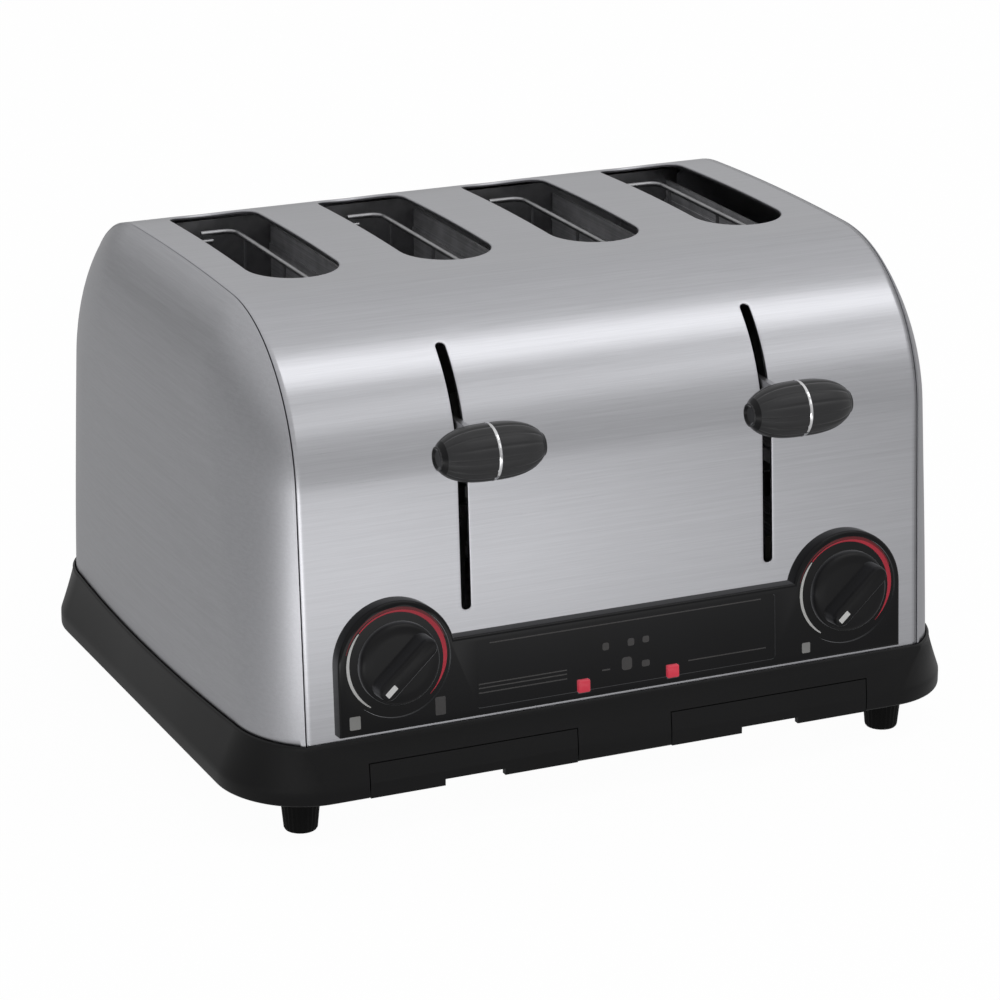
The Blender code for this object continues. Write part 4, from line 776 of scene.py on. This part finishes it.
def skirt_section():
    """The wall's section: (inset, height, rise), with rise from 0 at the base plan to 1 at the body plan."""
    shelf = FOOT_Z - 0.0003
    section = [(x, z, 0.0) for x, z in quarter_round((0.0010, BASE_Z + 0.0010), 0.0010, 270, 180)]
    section += [(0.0, BASE_Z + BAND - 0.0012, 0.0), (0.0, BASE_Z + BAND, 0.01),
                (0.0, BASE_Z + BAND + 0.0015, 0.10)]
    section += [(0.0, LIP_Z - 0.0018, 1.0)]
    section += [(x, z, 1.0) for x, z in quarter_round((0.0008, LIP_Z - 0.0008), 0.0008, 170, 90)]
    section += [(LIP_WIDTH, LIP_Z, 1.0), (LIP_WIDTH, shelf, 1.0), (LIP_WIDTH + 0.011, shelf, 1.0)]
    section += [(LIP_WIDTH + 0.011, shelf - 0.0022, 1.0), (0.0025, shelf - 0.0022, 0.68)]
    section += [(0.0025, BASE_Z + BAND, 0.0), (0.0025, BASE_Z, 0.0)]
    return section


rings = []
for inset, z, rise in skirt_section():
    outline = base_plan(inset) * (1 - rise) + body_plan(LIP_REACH - inset) * rise
    rings.append(level(outline + (0, BODY_Y), z))
base = make_piece("moulded_base", [Patch(np.stack(rings), wrap_rows=True, wrap_columns=True)], base_black,
                  "body", ["base_skirt"])
TRAY_SPLIT, TRAY_END, TRAY_TOP = 0.0200, 0.1074, 0.0312
BASE_FRONT = BODY_Y - BASE_HALF_Y
gaps = []
for _, side in SIDES:
    ends = sorted((side * TRAY_SPLIT, side * TRAY_END))
    gaps.append(block((ends[0], BASE_FRONT - 0.002, BASE_Z - 0.002),
                      (ends[1], BASE_FRONT + 0.0044, TRAY_TOP)))
carve(base, gaps)
print("moulded base", len(base.data.polygons), "faces")

# %% [markdown]
# ## Feet
# Four tapered rubber feet with fine upright ribs and a rounded sole.

# %% Ribbed feet
RIBS, RIB_DEPTH, FOOT_SIDES = 24, 0.00035, 96


def foot(label):
    """Circles from the sole to the flange. Where rib is 1, their radius waves in by the depth of a rib."""
    low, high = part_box(f"{label}_foot")
    x, y = (low.x + high.x) / 2, (low.y + high.y) / 2
    radius = (high.x - low.x) / 2 - 0.0006
    top = high.z
    levels = [(0.0, 0.0002, 0.0), (radius - 0.0034, 0.0, 0.0), (radius - 0.0020, 0.0002, 0.2),
              (radius - 0.0015, 0.0009, 1.0), (radius - 0.0008, 0.0080, 1.0), (radius, top - 0.0034, 1.0),
              (radius + 0.0001, top - 0.0030, 0.0), (radius + 0.0006, top - 0.0028, 0.0),
              (radius + 0.0006, top, 0.0)]
    angle = np.linspace(0, 2 * np.pi, FOOT_SIDES, endpoint=False)
    rings = []
    for reach, z, rib in levels:
        r = reach - RIB_DEPTH * rib * (1 - np.cos(RIBS * angle)) / 2
        rings.append(level(np.column_stack([x + r * np.cos(angle), y + r * np.sin(angle)]), z))
    make_piece(f"{label}_ribbed_foot", stack(rings), foot_rubber, "body", [f"{label}_foot"])


for end in ("front", "rear"):
    for label, _ in SIDES:
        foot(f"{end}_{label}")

# %% [markdown]
# ## Lever knobs
# Each knob is a slim turned form with a bright ring let into it. Fine grooves run from end to end, and the
# ends are small dishes. Its axis lies across the toaster. Brushed steel mirrors what is close to it only as
# a faint upright smear, which a round reflection would draw as a dark cloud beside each knob. So the knobs,
# the fascia, the dials and the print are left out of what shiny surfaces see.

# %% Turned knobs and rings
KNOB_Z, KNOB_Y = 0.1540, BODY_Y - HALF_DEPTH - 0.01875
KNOB_HALF, KNOB_RADIUS, KNOB_REACH, KNOB_POWER = 0.0214, 0.0108, 0.0223, 2.8
KNOB_TIP, RING_HALF, RING_SEAT = KNOB_HALF - 0.0008, 0.0007, KNOB_RADIUS - 0.0012
GROOVES, GROOVE_DEPTH, GROOVE_WIDTH, GROOVE_START = 14, 0.00036, 0.12, 0.0042
ALONG_X = Matrix(((0, 0, 1, 0), (1, 0, 0, 0), (0, 1, 0, 0), (0, 0, 0, 1)))


def knob_radius(along):
    """The radius of the knob at a distance x from its middle: R * sqrt(1 - (|x| / reach) ** power)."""
    return KNOB_RADIUS * np.sqrt(1 - (np.abs(along) / KNOB_REACH) ** KNOB_POWER)


def lever_knob(label, side):
    """Sections carried round the axis. A groove is exp(-(share of a pitch / width)^2) of its depth."""
    body = f"{label}_lever"
    place = Matrix.Translation((side * SLOT_PITCH, KNOB_Y, KNOB_Z)) @ ALONG_X
    along = np.concatenate([np.linspace(-KNOB_TIP, -RING_HALF, 22), [-RING_HALF, RING_HALF],
                            np.linspace(RING_HALF, KNOB_TIP, 22)])
    radius = knob_radius(along)
    radius[22:24] = RING_SEAT
    end = radius[0]
    lead = [(0.0, 0.0012), (end - 0.0016, 0.0011), (end - 0.0010, 0.0004), (end - 0.0007, 0.0),
            (end - 0.0003, 0.0001)]
    height = np.concatenate([[d - KNOB_HALF for _, d in lead], along, [KNOB_HALF - d for _, d in lead[::-1]]])
    radius = np.concatenate([[r for r, _ in lead], radius, [r for r, _ in lead[::-1]]])
    angle = np.linspace(0, 2 * np.pi, 12 * GROOVES, endpoint=False)
    deep = np.clip((radius - GROOVE_START) / 0.004, 0, 1)[:, None] * GROOVE_DEPTH
    pitches = np.mod(angle * GROOVES / (2 * np.pi) + 0.5, 1) - 0.5
    r = radius[:, None] - deep * np.exp(-(pitches / GROOVE_WIDTH) ** 2)
    rings = np.stack([r * np.cos(angle), r * np.sin(angle), height[:, None] + 0 * angle], -1)
    knob = make_piece(f"{label}_turned_knob", stack(rings, place), grip_grey, body,
                      [f"{label}_lever_knob"])
    knob.visible_shadow = False
    unmirrored(knob)
    unmirrored(frame["nodes"][f"{label}_lever_arm"])
    plug = [(0.0, 0.0190)] + [(knob_radius(at) + 0.00005, at) for at in (0.0192, 0.0199, KNOB_TIP)]
    plug += [(end - step, KNOB_HALF - dip)
             for step, dip in ((0.0003, 0.0002), (0.0009, 0.0), (0.0014, 0.0004), (0.0018, 0.0008))]
    plug += [(0.0, KNOB_HALF - 0.0009)]
    for number, end_side in enumerate((-1, 1)):
        section = [(r, end_side * at) for r, at in plug]
        unmirrored(make_piece(f"{label}_knob_plug_{number}", turned(section, 48, place), dial_black, body))
    outer, half = KNOB_RADIUS + 0.0001, RING_HALF - 0.0001
    section = [(RING_SEAT, -half), (outer - 0.0003, -half), (outer, 0.0003 - half), (outer, half - 0.0003),
               (outer - 0.0003, half), (RING_SEAT, half)]
    unmirrored(make_piece(f"{label}_bright_ring", turned(section, 64, place, closed_section=True), chrome,
                          body, [f"{label}_lever_ring"]))


for label, side in SIDES:
    lever_knob(label, side)

# %% [markdown]
# ## The control fascia
# A polished black moulding: two arched housings joined by a low strip. Its outline is worked out for any
# inset, so that a rounded edge is a few rings of that outline. The pockets and the recess are flat floored,
# so a Boolean cuts them without harm.

# %% Fascia
FASCIA_DEPTH = 0.0065
FASCIA_LOW = 0.0029
STRIP_TOP = 0.0353
DIAL_X, DIAL_V = 0.0960, 0.0295
HOUSING = 0.0240
POCKET, POCKET_DEPTH = 0.0217, 0.0012
LENS_X, LENS_V, LENS = 0.0191, 0.0079, 0.0056


def fascia_outline(inset, steps=40):
    """The outline drawn in by an inset: arcs lose radius, straights move, and they still meet."""
    radius = HOUSING - inset
    meet = math.asin((STRIP_TOP - inset - DIAL_V) / radius)
    turn = np.linspace(0, math.pi - meet, steps)
    right = np.column_stack([DIAL_X + radius * np.cos(turn), DIAL_V + radius * np.sin(turn)])
    edge = DIAL_X + radius
    foot_line = np.array([[-edge, FASCIA_LOW + inset], [edge, FASCIA_LOW + inset]])
    return np.concatenate([foot_line, right, right[::-1] * (-1, 1)])


def flat_solid(name, rings, place, material, body, replaces=()):
    """A solid whose ends are flat faces of any outline: walls between equal rings, and the two ends."""
    work = bmesh.new()
    verts = [[work.verts.new(point) for point in ring] for ring in in_frame(rings, place)]
    count = len(verts[0])
    for first, second in zip(verts, verts[1:]):
        for k in range(count):
            work.faces.new((first[k], first[(k + 1) % count], second[(k + 1) % count], second[k]))
    work.faces.new(verts[0][::-1])
    work.faces.new(verts[-1])
    bmesh.ops.recalc_face_normals(work, faces=work.faces)
    mesh = bpy.data.meshes.new(name)
    work.to_mesh(mesh)
    work.free()
    return unmirrored(finished(name, mesh, material, body, replaces, FLAT_EDGE))


EDGE_ROUND = 0.0012
edge = [(0.0, 0.0003), (0.0, FASCIA_DEPTH - EDGE_ROUND)]
edge += [(EDGE_ROUND * (1 - math.cos(a)), FASCIA_DEPTH - EDGE_ROUND * (1 - math.sin(a)))
         for a in np.linspace(0, math.pi / 2, 5)[1:]]
flat = front_frame()
rings = [level(fascia_outline(inset), out) for inset, out in edge]


fascia = flat_solid("polished_fascia", rings, flat, gloss_black, "body", ["control_fascia"])
cuts = []
LABEL_HALF, LABEL_LOW, LABEL_HIGH, LABEL_DEPTH = 0.0640, 0.0060, 0.0328, 0.0006
label_outline = rounded_box((-LABEL_HALF, LABEL_LOW), (LABEL_HALF, LABEL_HIGH), 0.0015)
cuts.append(stack(lifted(label_outline, (FASCIA_DEPTH - LABEL_DEPTH, FASCIA_DEPTH + 0.002)), flat))
for _, side in SIDES:
    dial_place = front_frame(side * DIAL_X, DIAL_V)
    pocket = [(POCKET, FASCIA_DEPTH - POCKET_DEPTH), (POCKET, FASCIA_DEPTH + 0.002)]
    cuts.append(turned(pocket, 96, dial_place))
    lens_place = front_frame(side * LENS_X, LENS_V)
    hole = rounded_box((-LENS / 2, -LENS / 2), (LENS / 2, LENS / 2), 0.0004)
    cuts.append(stack(lifted(hole, (0.0005, FASCIA_DEPTH + 0.002)), lens_place))
carve(fascia, cuts)
print("fascia", len(fascia.data.polygons), "faces")

# %% [markdown]
# ## Print on the fascia
# The scales are thin raised print: a white arc that swells from a point, then a broader red one that fades
# to a point. Maker's words and marks are left out, and the strip keeps only plain pictograms and lines.

# %% Printed arcs, lines and pictograms
PRINT = 0.00008


def arc_band(radius, start, end, width_of, steps=60):
    """A flat band on an arc, its width given along it by a function of the share from 0 to 1."""
    share = np.linspace(0, 1, steps)
    turn = np.radians(start + (end - start) * share)
    half = width_of(share)[:, None] / 2
    unit = np.column_stack([np.cos(turn), np.sin(turn)])
    return np.concatenate([unit * (radius + half), (unit * (radius - half))[::-1]])


def printed(name, outline, place, height, material):
    """A thin flat print on the face of the fascia."""
    flat_solid(name, lifted(outline, (height - 0.00002, height + PRINT)), place, material, "body")


def half_wave(rise, power):
    """Width of the white and deep red arcs: 0.3 mm and rise * sin(pi * w) ** power."""
    return lambda w: 0.0003 + rise * np.sin(np.pi * w) ** power


def swell(w):
    """Width of the red arc: 0.4 mm, and a bell that adds 1.4 mm about 0.62 of the way, fading at the end."""
    bell = 0.0004 + 0.0014 * np.exp(-((w - 0.62) / 0.30) ** 2)
    return bell * np.clip((1.03 - w) / 0.22, 0, 1)


def icon(name, x, v, half_x, half_v, radius, level_out, material):
    """A small rounded rectangle about a point of the front."""
    outline = rounded_box((x - half_x, v - half_v), (x + half_x, v + half_v), radius)
    printed(name, outline, flat, level_out, material)


SCALE = 0.0198
ARCS = (("white", SCALE, 236, 139, half_wave(0.0009, 0.6), white_print),
        ("red", SCALE, 138, -48, swell, red_print),
        ("deep", SCALE + 0.0012, 165, 20, half_wave(0.0011, 1.0), deep_print))
MARKS = {"left": ((-0.0181, 0.0083, 0.0022, 0.0026, grey_print), (0.0168, 0.0097, 0.0021, 0.0036, dim_print)),
         "right": ((-0.0184, 0.0084, 0.0018, 0.0021, grey_print),)}
for label, side in SIDES:
    for colour, radius, start, end, width_of, material in ARCS:
        printed(f"{label}_scale_{colour}", arc_band(radius, start, end, width_of),
                front_frame(side * DIAL_X, DIAL_V), FASCIA_DEPTH - POCKET_DEPTH, material)
    for number, (x, v, half_x, half_v, material) in enumerate(MARKS[label]):
        icon(f"{label}_scale_mark_{number}", side * DIAL_X + x, v, half_x, half_v, 0.0005, FASCIA_DEPTH,
             material)

LINES = ((0.0312, -0.058, 0.058), (0.0153, -0.063, -0.026), (0.0137, -0.063, -0.026),
         (0.0118, -0.063, -0.026), (0.0110, 0.026, 0.060))
PICTOGRAMS = ((-0.0094, 0.0222, 0.0014, 0.0015), (0.0014, 0.0224, 0.0014, 0.0015),
              (0.0078, 0.0226, 0.0014, 0.0013), (-0.0094, 0.0128, 0.0017, 0.0003),
              (0.0076, 0.0129, 0.0017, 0.0013), (-0.0005, 0.0140, 0.0022, 0.0026))
strip_level, half = FASCIA_DEPTH - LABEL_DEPTH, 0.00022
for number, (v, low, high) in enumerate(LINES):
    line = [(low, v - half), (high, v - half), (high, v + half), (low, v + half)]
    printed(f"strip_line_{number}", line, flat, strip_level, dim_print)
for number, (x, v, half_x, half_v) in enumerate(PICTOGRAMS):
    icon(f"strip_pictogram_{number}", x, v, half_x, half_v, 0.6 * min(half_x, half_v), strip_level,
         dim_print)

# %% Lamp lenses
for label, side in SIDES:
    half = LENS / 2 - 0.0003
    rings = [level(rounded_box((inset - half, inset - half), (half - inset, half - inset), 0.0006), out)
             for inset, out in ((0.0, -0.0040), (0.0, FASCIA_DEPTH + 0.0001),
                                (0.0002, FASCIA_DEPTH + 0.0004), (0.0007, FASCIA_DEPTH + 0.0006))]
    flat_solid(f"{label}_lamp_lens", rings, front_frame(side * LENS_X, LENS_V), lamp_red, "body",
               [f"{label}_indicator_lens"])

# %% [markdown]
# ## Dials
# A round foot with a soft rim and a deep grip bar across it. The bar carries a white tick at the end that
# points. The bar is a stack of round-ended outlines that draw in towards the top.

# %% Dials
DIAL_FOOT = FASCIA_DEPTH - POCKET_DEPTH + 0.0006
DIAL_REST = math.radians(222)
BAR_LEVELS = ((0.0050, 0.0149, 0.0036), (0.0044, 0.0148, 0.0044), (0.0039, 0.0148, 0.0060),
              (0.0036, 0.0147, 0.0100), (0.0034, 0.0145, 0.0116), (0.0029, 0.0140, 0.0123),
              (0.0020, 0.0133, 0.0125))


def bar_outline(half_width, half_length, steps=10):
    """Two half circles as wide as the bar, joined by straights."""
    turn = np.linspace(0, np.pi, steps)
    reach = half_length - half_width
    top = np.column_stack([half_width * np.cos(turn), reach + half_width * np.sin(turn)])
    return np.concatenate([top, top * (-1, -1)])


def dial(label, side):
    """A turned foot, the bar's outlines from wide and low to narrow and high, and the tick on top."""
    place = front_frame(side * DIAL_X, DIAL_V)
    section = [(0.0, 0.0), (0.0160, 0.0), (0.0162, 0.0003), (0.0162, 0.0021), (0.0160, 0.0030),
               (0.0154, 0.0038), (0.0146, 0.0042), (0.0110, 0.0043), (0.0, 0.0043)]
    section = [(radius, DIAL_FOOT + out) for radius, out in section]
    unmirrored(make_piece(f"{label}_dial_knob", turned(section, 96, place), dial_black, f"{label}_control",
                          [f"{label}_dial"]))
    turned_place = place @ Matrix.Rotation(DIAL_REST - math.pi / 2, 4, "Z")
    rings = [level(bar_outline(half_width, half_length), DIAL_FOOT + out)
             for half_width, half_length, out in BAR_LEVELS]
    flat_solid(f"{label}_dial_bar", rings, turned_place, dial_black, f"{label}_control")
    tick = rounded_box((-0.0011, 0.0078), (0.0011, 0.0129), 0.0003)
    rings = lifted(tick, (DIAL_FOOT + 0.0120, DIAL_FOOT + 0.0125 + PRINT))
    flat_solid(f"{label}_dial_tick", rings, turned_place, white_print, f"{label}_control")


for label, side in SIDES:
    dial(label, side)

# %% [markdown]
# ## Wire guards
# Behind the slots stand pairs of guards welded from round wire: a thick top rail that hooks inwards at the
# back, five long wires and three stays. The left guard's rail is lower, so that the two hooks can pass.

# %% Wire guards
CHAMBER_LOW, CHAMBER_HIGH = BODY_Y - 0.0560, BODY_Y + 0.0772
GUARD_TOP, GUARD_FOOT, GUARD_DROP = 0.1900, 0.0400, 0.0034
GUARD_SPREAD, GUARD_LEAN, WIRE_PITCH = 0.0100, 0.0020, 0.0290
HOOK_Y, HOOK_BEND, HOOK_END = BODY_Y + 0.0670, 0.0050, 0.0025


def guard(number, label, side):
    """A rail, five long wires and three stays, all on a flat plane that leans outwards to the top."""
    centre = SLOT_CENTRES[number - 1]
    top = GUARD_TOP if side > 0 else GUARD_TOP - GUARD_DROP

    def across(z):
        return centre + side * (GUARD_SPREAD + GUARD_LEAN * (z - GUARD_FOOT) / (GUARD_TOP - GUARD_FOOT))

    turn = np.linspace(0, np.pi / 2, 9)
    bend_x = across(top) - side * HOOK_BEND
    path = [(across(top), CHAMBER_LOW, top)]
    path += [(bend_x + side * HOOK_BEND * math.cos(a), HOOK_Y - HOOK_BEND + HOOK_BEND * math.sin(a), top)
             for a in turn]
    path += [(centre - side * HOOK_END, HOOK_Y, top)]
    patches = wire(path, 0.0011, 12)
    for k in range(1, 6):
        z = GUARD_TOP - k * WIRE_PITCH
        patches += wire([(across(z), CHAMBER_LOW, z), (across(z), CHAMBER_HIGH, z)], 0.0008)
    pitch = (CHAMBER_HIGH - CHAMBER_LOW) / 3
    for k in range(3):
        y = CHAMBER_LOW + (k + 0.5) * pitch
        patches += wire([(across(GUARD_FOOT), y, GUARD_FOOT), (across(top), y, top)], 0.0007)
    make_piece(f"wire_guard_{number}_{label}", patches, wire_steel,
               f"{'left' if number < 3 else 'right'}_pair_{label}_guards",
               [f"bread_guard_{number}_{label}"])


for number in range(1, 5):
    for label, side in SIDES:
        guard(number, label, side)

# %% [markdown]
# ## Cable gland
# A turned bush in the back: a flange outside, a flange inside and the neck between them through the sheet.

# %% Cable gland
low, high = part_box("cable_gland")
GLAND_BORE, GLAND_FLANGE, GLAND_WALL, GLAND_FIT = 0.0042, 0.0090, 0.0030, 0.0003
face, inside, neck = GLAND_FIT + GLAND_WALL, -(SHEET + GLAND_FIT), GLAND_NECK - 0.0003
section = [(GLAND_BORE, face - 0.0006), (GLAND_BORE + 0.0006, face), (GLAND_FLANGE - 0.0012, face),
           (GLAND_FLANGE - 0.0003, face - 0.0004), (GLAND_FLANGE, face - 0.0012), (GLAND_FLANGE, GLAND_FIT),
           (neck, GLAND_FIT), (neck, inside), (GLAND_FLANGE, inside),
           (GLAND_FLANGE, inside - GLAND_WALL), (GLAND_BORE, inside - GLAND_WALL)]
make_piece("turned_cable_gland", turned(section, 64, front_frame(-GLAND_X, GLAND_V, 1), closed_section=True),
           base_black, "body", ["cable_gland"])
print("cable gland, box of the CAD node", [round(c, 4) for c in (*low, *high)])

# %% [markdown]
# ## Finishes for the CAD pieces that stay
# The flat pieces inside are right as they are, so they keep their meshes and get their finishes.

# %% Finishes by slot
by_slot = {"plated_steel": zinc, "chrome": chrome, "black_moulding": base_black, "control_casing": casing,
           "board": board_green, "mica": mica, "stainless": shell_steel, "grip": grip_grey,
           "black_gloss": gloss_black, "foot_rubber": foot_rubber, "red_lens": lamp_red}
slots = {entry["node"]: entry["material_slot"] for entry in frame["record"]["subparts"]}
for name, node in frame["nodes"].items():
    node.data.materials.clear()
    node.data.materials.append(by_slot[slots[name]])
print(len(slots), "CAD nodes have a finish")


# %% [markdown]
# ## Studio
# A photographer lights brushed steel by what it mirrors. A white floor runs past the picture on every side.
# What the steel mirrors of it is painted light: two soft painted pools of light in front, on the left, and
# painted shade that grows from front to back. The room round it is darkest at the horizon behind, and
# brighter in front and overhead. Two long soft lamps hang over the front: they are the bright bands on the
# arch.

# %% Floor
CAMERA_RAY, GLOSSY_RAY, THROUGH_RAY = 0, 3, 6
# Painted light on the floor as the steel mirrors it: painted pools of light in front and painted shade from
# front to back.
PAINTED_POOLS = (((-0.20, -0.53), (0.46, 0.155), 1.82), ((-0.47, -0.42), (0.24, 0.20), 2.10))
PAINTED_FLOOR_FRONT, PAINTED_FLOOR_REAR, FLOOR_REACH = 0.56, 0.47, 12.0
WHITE, PAPER, GLOW_SHARE = 1.035, 0.60, 0.94


def pale_floor():
    """A large floor that looks white to the camera and still keeps the toaster's shadow.

    In the steel it shows painted light: soft painted pools of light in front, each exp(-(x/a)^4 - (y/b)^2)
    about its middle, on a floor painted darker from front to back. To other rays it is plain pale paper.
    """
    mesh = bpy.data.meshes.new("floor")
    mesh.from_pydata([(x * FLOOR_REACH, y * FLOOR_REACH, 0) for x, y in ((-1, -1), (1, -1), (1, 1), (-1, 1))],
                     [], [(0, 1, 2, 3)])
    floor = put("floor", mesh)
    material = bpy.data.materials.new("pale_floor")
    material.use_nodes = True
    material.node_tree.nodes.clear()
    board = Nodes(material.node_tree)
    at = board.node("ShaderNodeTexCoord", output=OBJECT_PLACE)
    x, y = board.part(at, 0), board.part(at, 1)
    # Painted light and shade: the floor's glow in the steel is painted darker behind and brighter in the
    # pools.
    painted_light = y.between(-0.5, 0.15) * (PAINTED_FLOOR_REAR - PAINTED_FLOOR_FRONT) + PAINTED_FLOOR_FRONT
    for middle, reach, light in PAINTED_POOLS:
        across, along = (x - middle[0]) / reach[0], (y - middle[1]) / reach[1]
        painted_pool = board.math("EXPONENT", -(across * across * across * across + along * along))
        painted_light = painted_light + painted_pool * light
    camera_ray = board.ray(CAMERA_RAY)
    bright = camera_ray * (WHITE - painted_light) + painted_light
    glow = board.node("ShaderNodeEmission", None, {"Strength": bright})
    paper = board.node("ShaderNodeBsdfDiffuse", None, {"Color": (PAPER, PAPER, PAPER, 1)})
    share = board.math("MAXIMUM", camera_ray, board.ray(GLOSSY_RAY)) * GLOW_SHARE
    both = board.node("ShaderNodeMixShader", None, {0: share, 1: paper, 2: glow})
    board.node_to_output(both, "ShaderNodeOutputMaterial")
    mesh.materials.append(material)


pale_floor()


# %% World and lamps
def set_world(light, rear, front, front_left, overhead, zenith):
    """A plain grey world for light. Cameras see it white, and the metal sees the room that it stands for.

    The room's brightness at the horizon goes from rear, behind on the left, to front, and towards the left
    of the front to front_left. Higher up it passes into overhead and then zenith.
    """
    world = bpy.data.worlds.new("studio")
    bpy.context.scene.world = world
    world.use_nodes = True
    world.node_tree.nodes.clear()
    room = Nodes(world.node_tree)
    toward = room.node("ShaderNodeTexCoord", output=DIRECTION)
    x, y, height = (room.part(toward, axis) for axis in range(3))
    facing = (x - y).between(-0.9, -0.1)
    ahead = (-x).between(-0.52, -0.30) * (front_left - front) + front
    seen = facing * (ahead - rear) + rear
    seen = height.between(0.02, 0.36) * (overhead - seen) + seen
    seen = height.between(0.45, 0.95) * (zenith - overhead) + seen
    white_ray = room.math("MAXIMUM", room.ray(CAMERA_RAY), room.ray(THROUGH_RAY))
    strength = room.ray(GLOSSY_RAY) * (seen - light) + light
    strength = white_ray * (1.0 - strength) + strength
    backdrop = room.node("ShaderNodeBackground", None, {"Strength": strength})
    room.node_to_output(backdrop, "ShaderNodeOutputWorld")


def soft_lamp(name, place, aim, size, power):
    """A rectangular lamp that looks at a point."""
    data = bpy.data.lights.new(name, "AREA")
    data.shape = "RECTANGLE"
    data.size, data.size_y = size
    data.energy = power
    lamp = put(name, data)
    lamp.location = place
    lamp.rotation_euler = (Vector(aim) - Vector(place)).to_track_quat("-Z", "Y").to_euler()


set_world(0.62, 0.38, 0.68, 0.90, 0.84, 1.0)
soft_lamp("high_strip", (0.75, -0.67, 1.75), (0.75, -0.12, 0.15), (1.8, 0.60), 4.3)
soft_lamp("front_strip", (0.75, -1.35, 1.10), (0, 0, 0.15), (1.8, 0.46), 1.5)

# %% [markdown]
# ## Camera
# The camera was fitted to the photograph: it stands to the left of the front and looks a little down with
# a long lens.

# %% Camera
CAMERA_AT = Vector((-0.619148, -1.378325 + BODY_Y, 0.593052))
CAMERA_RIGHT = Vector((0.91102, -0.41236, -0.00067))
CAMERA_UP = Vector((0.13266, 0.29155, 0.94731))
CAMERA_BACK = Vector((-0.39044, -0.86311, 0.32031))
view = bpy.data.cameras.new("camera")
view.lens = 139.31
view.sensor_width = 36
view.clip_end = 60
camera = put("camera", view)
camera.matrix_world = frame_of((CAMERA_RIGHT, CAMERA_UP, CAMERA_BACK), CAMERA_AT)
bpy.context.scene.camera = camera
bpy.context.scene.view_settings.view_transform = "Standard"
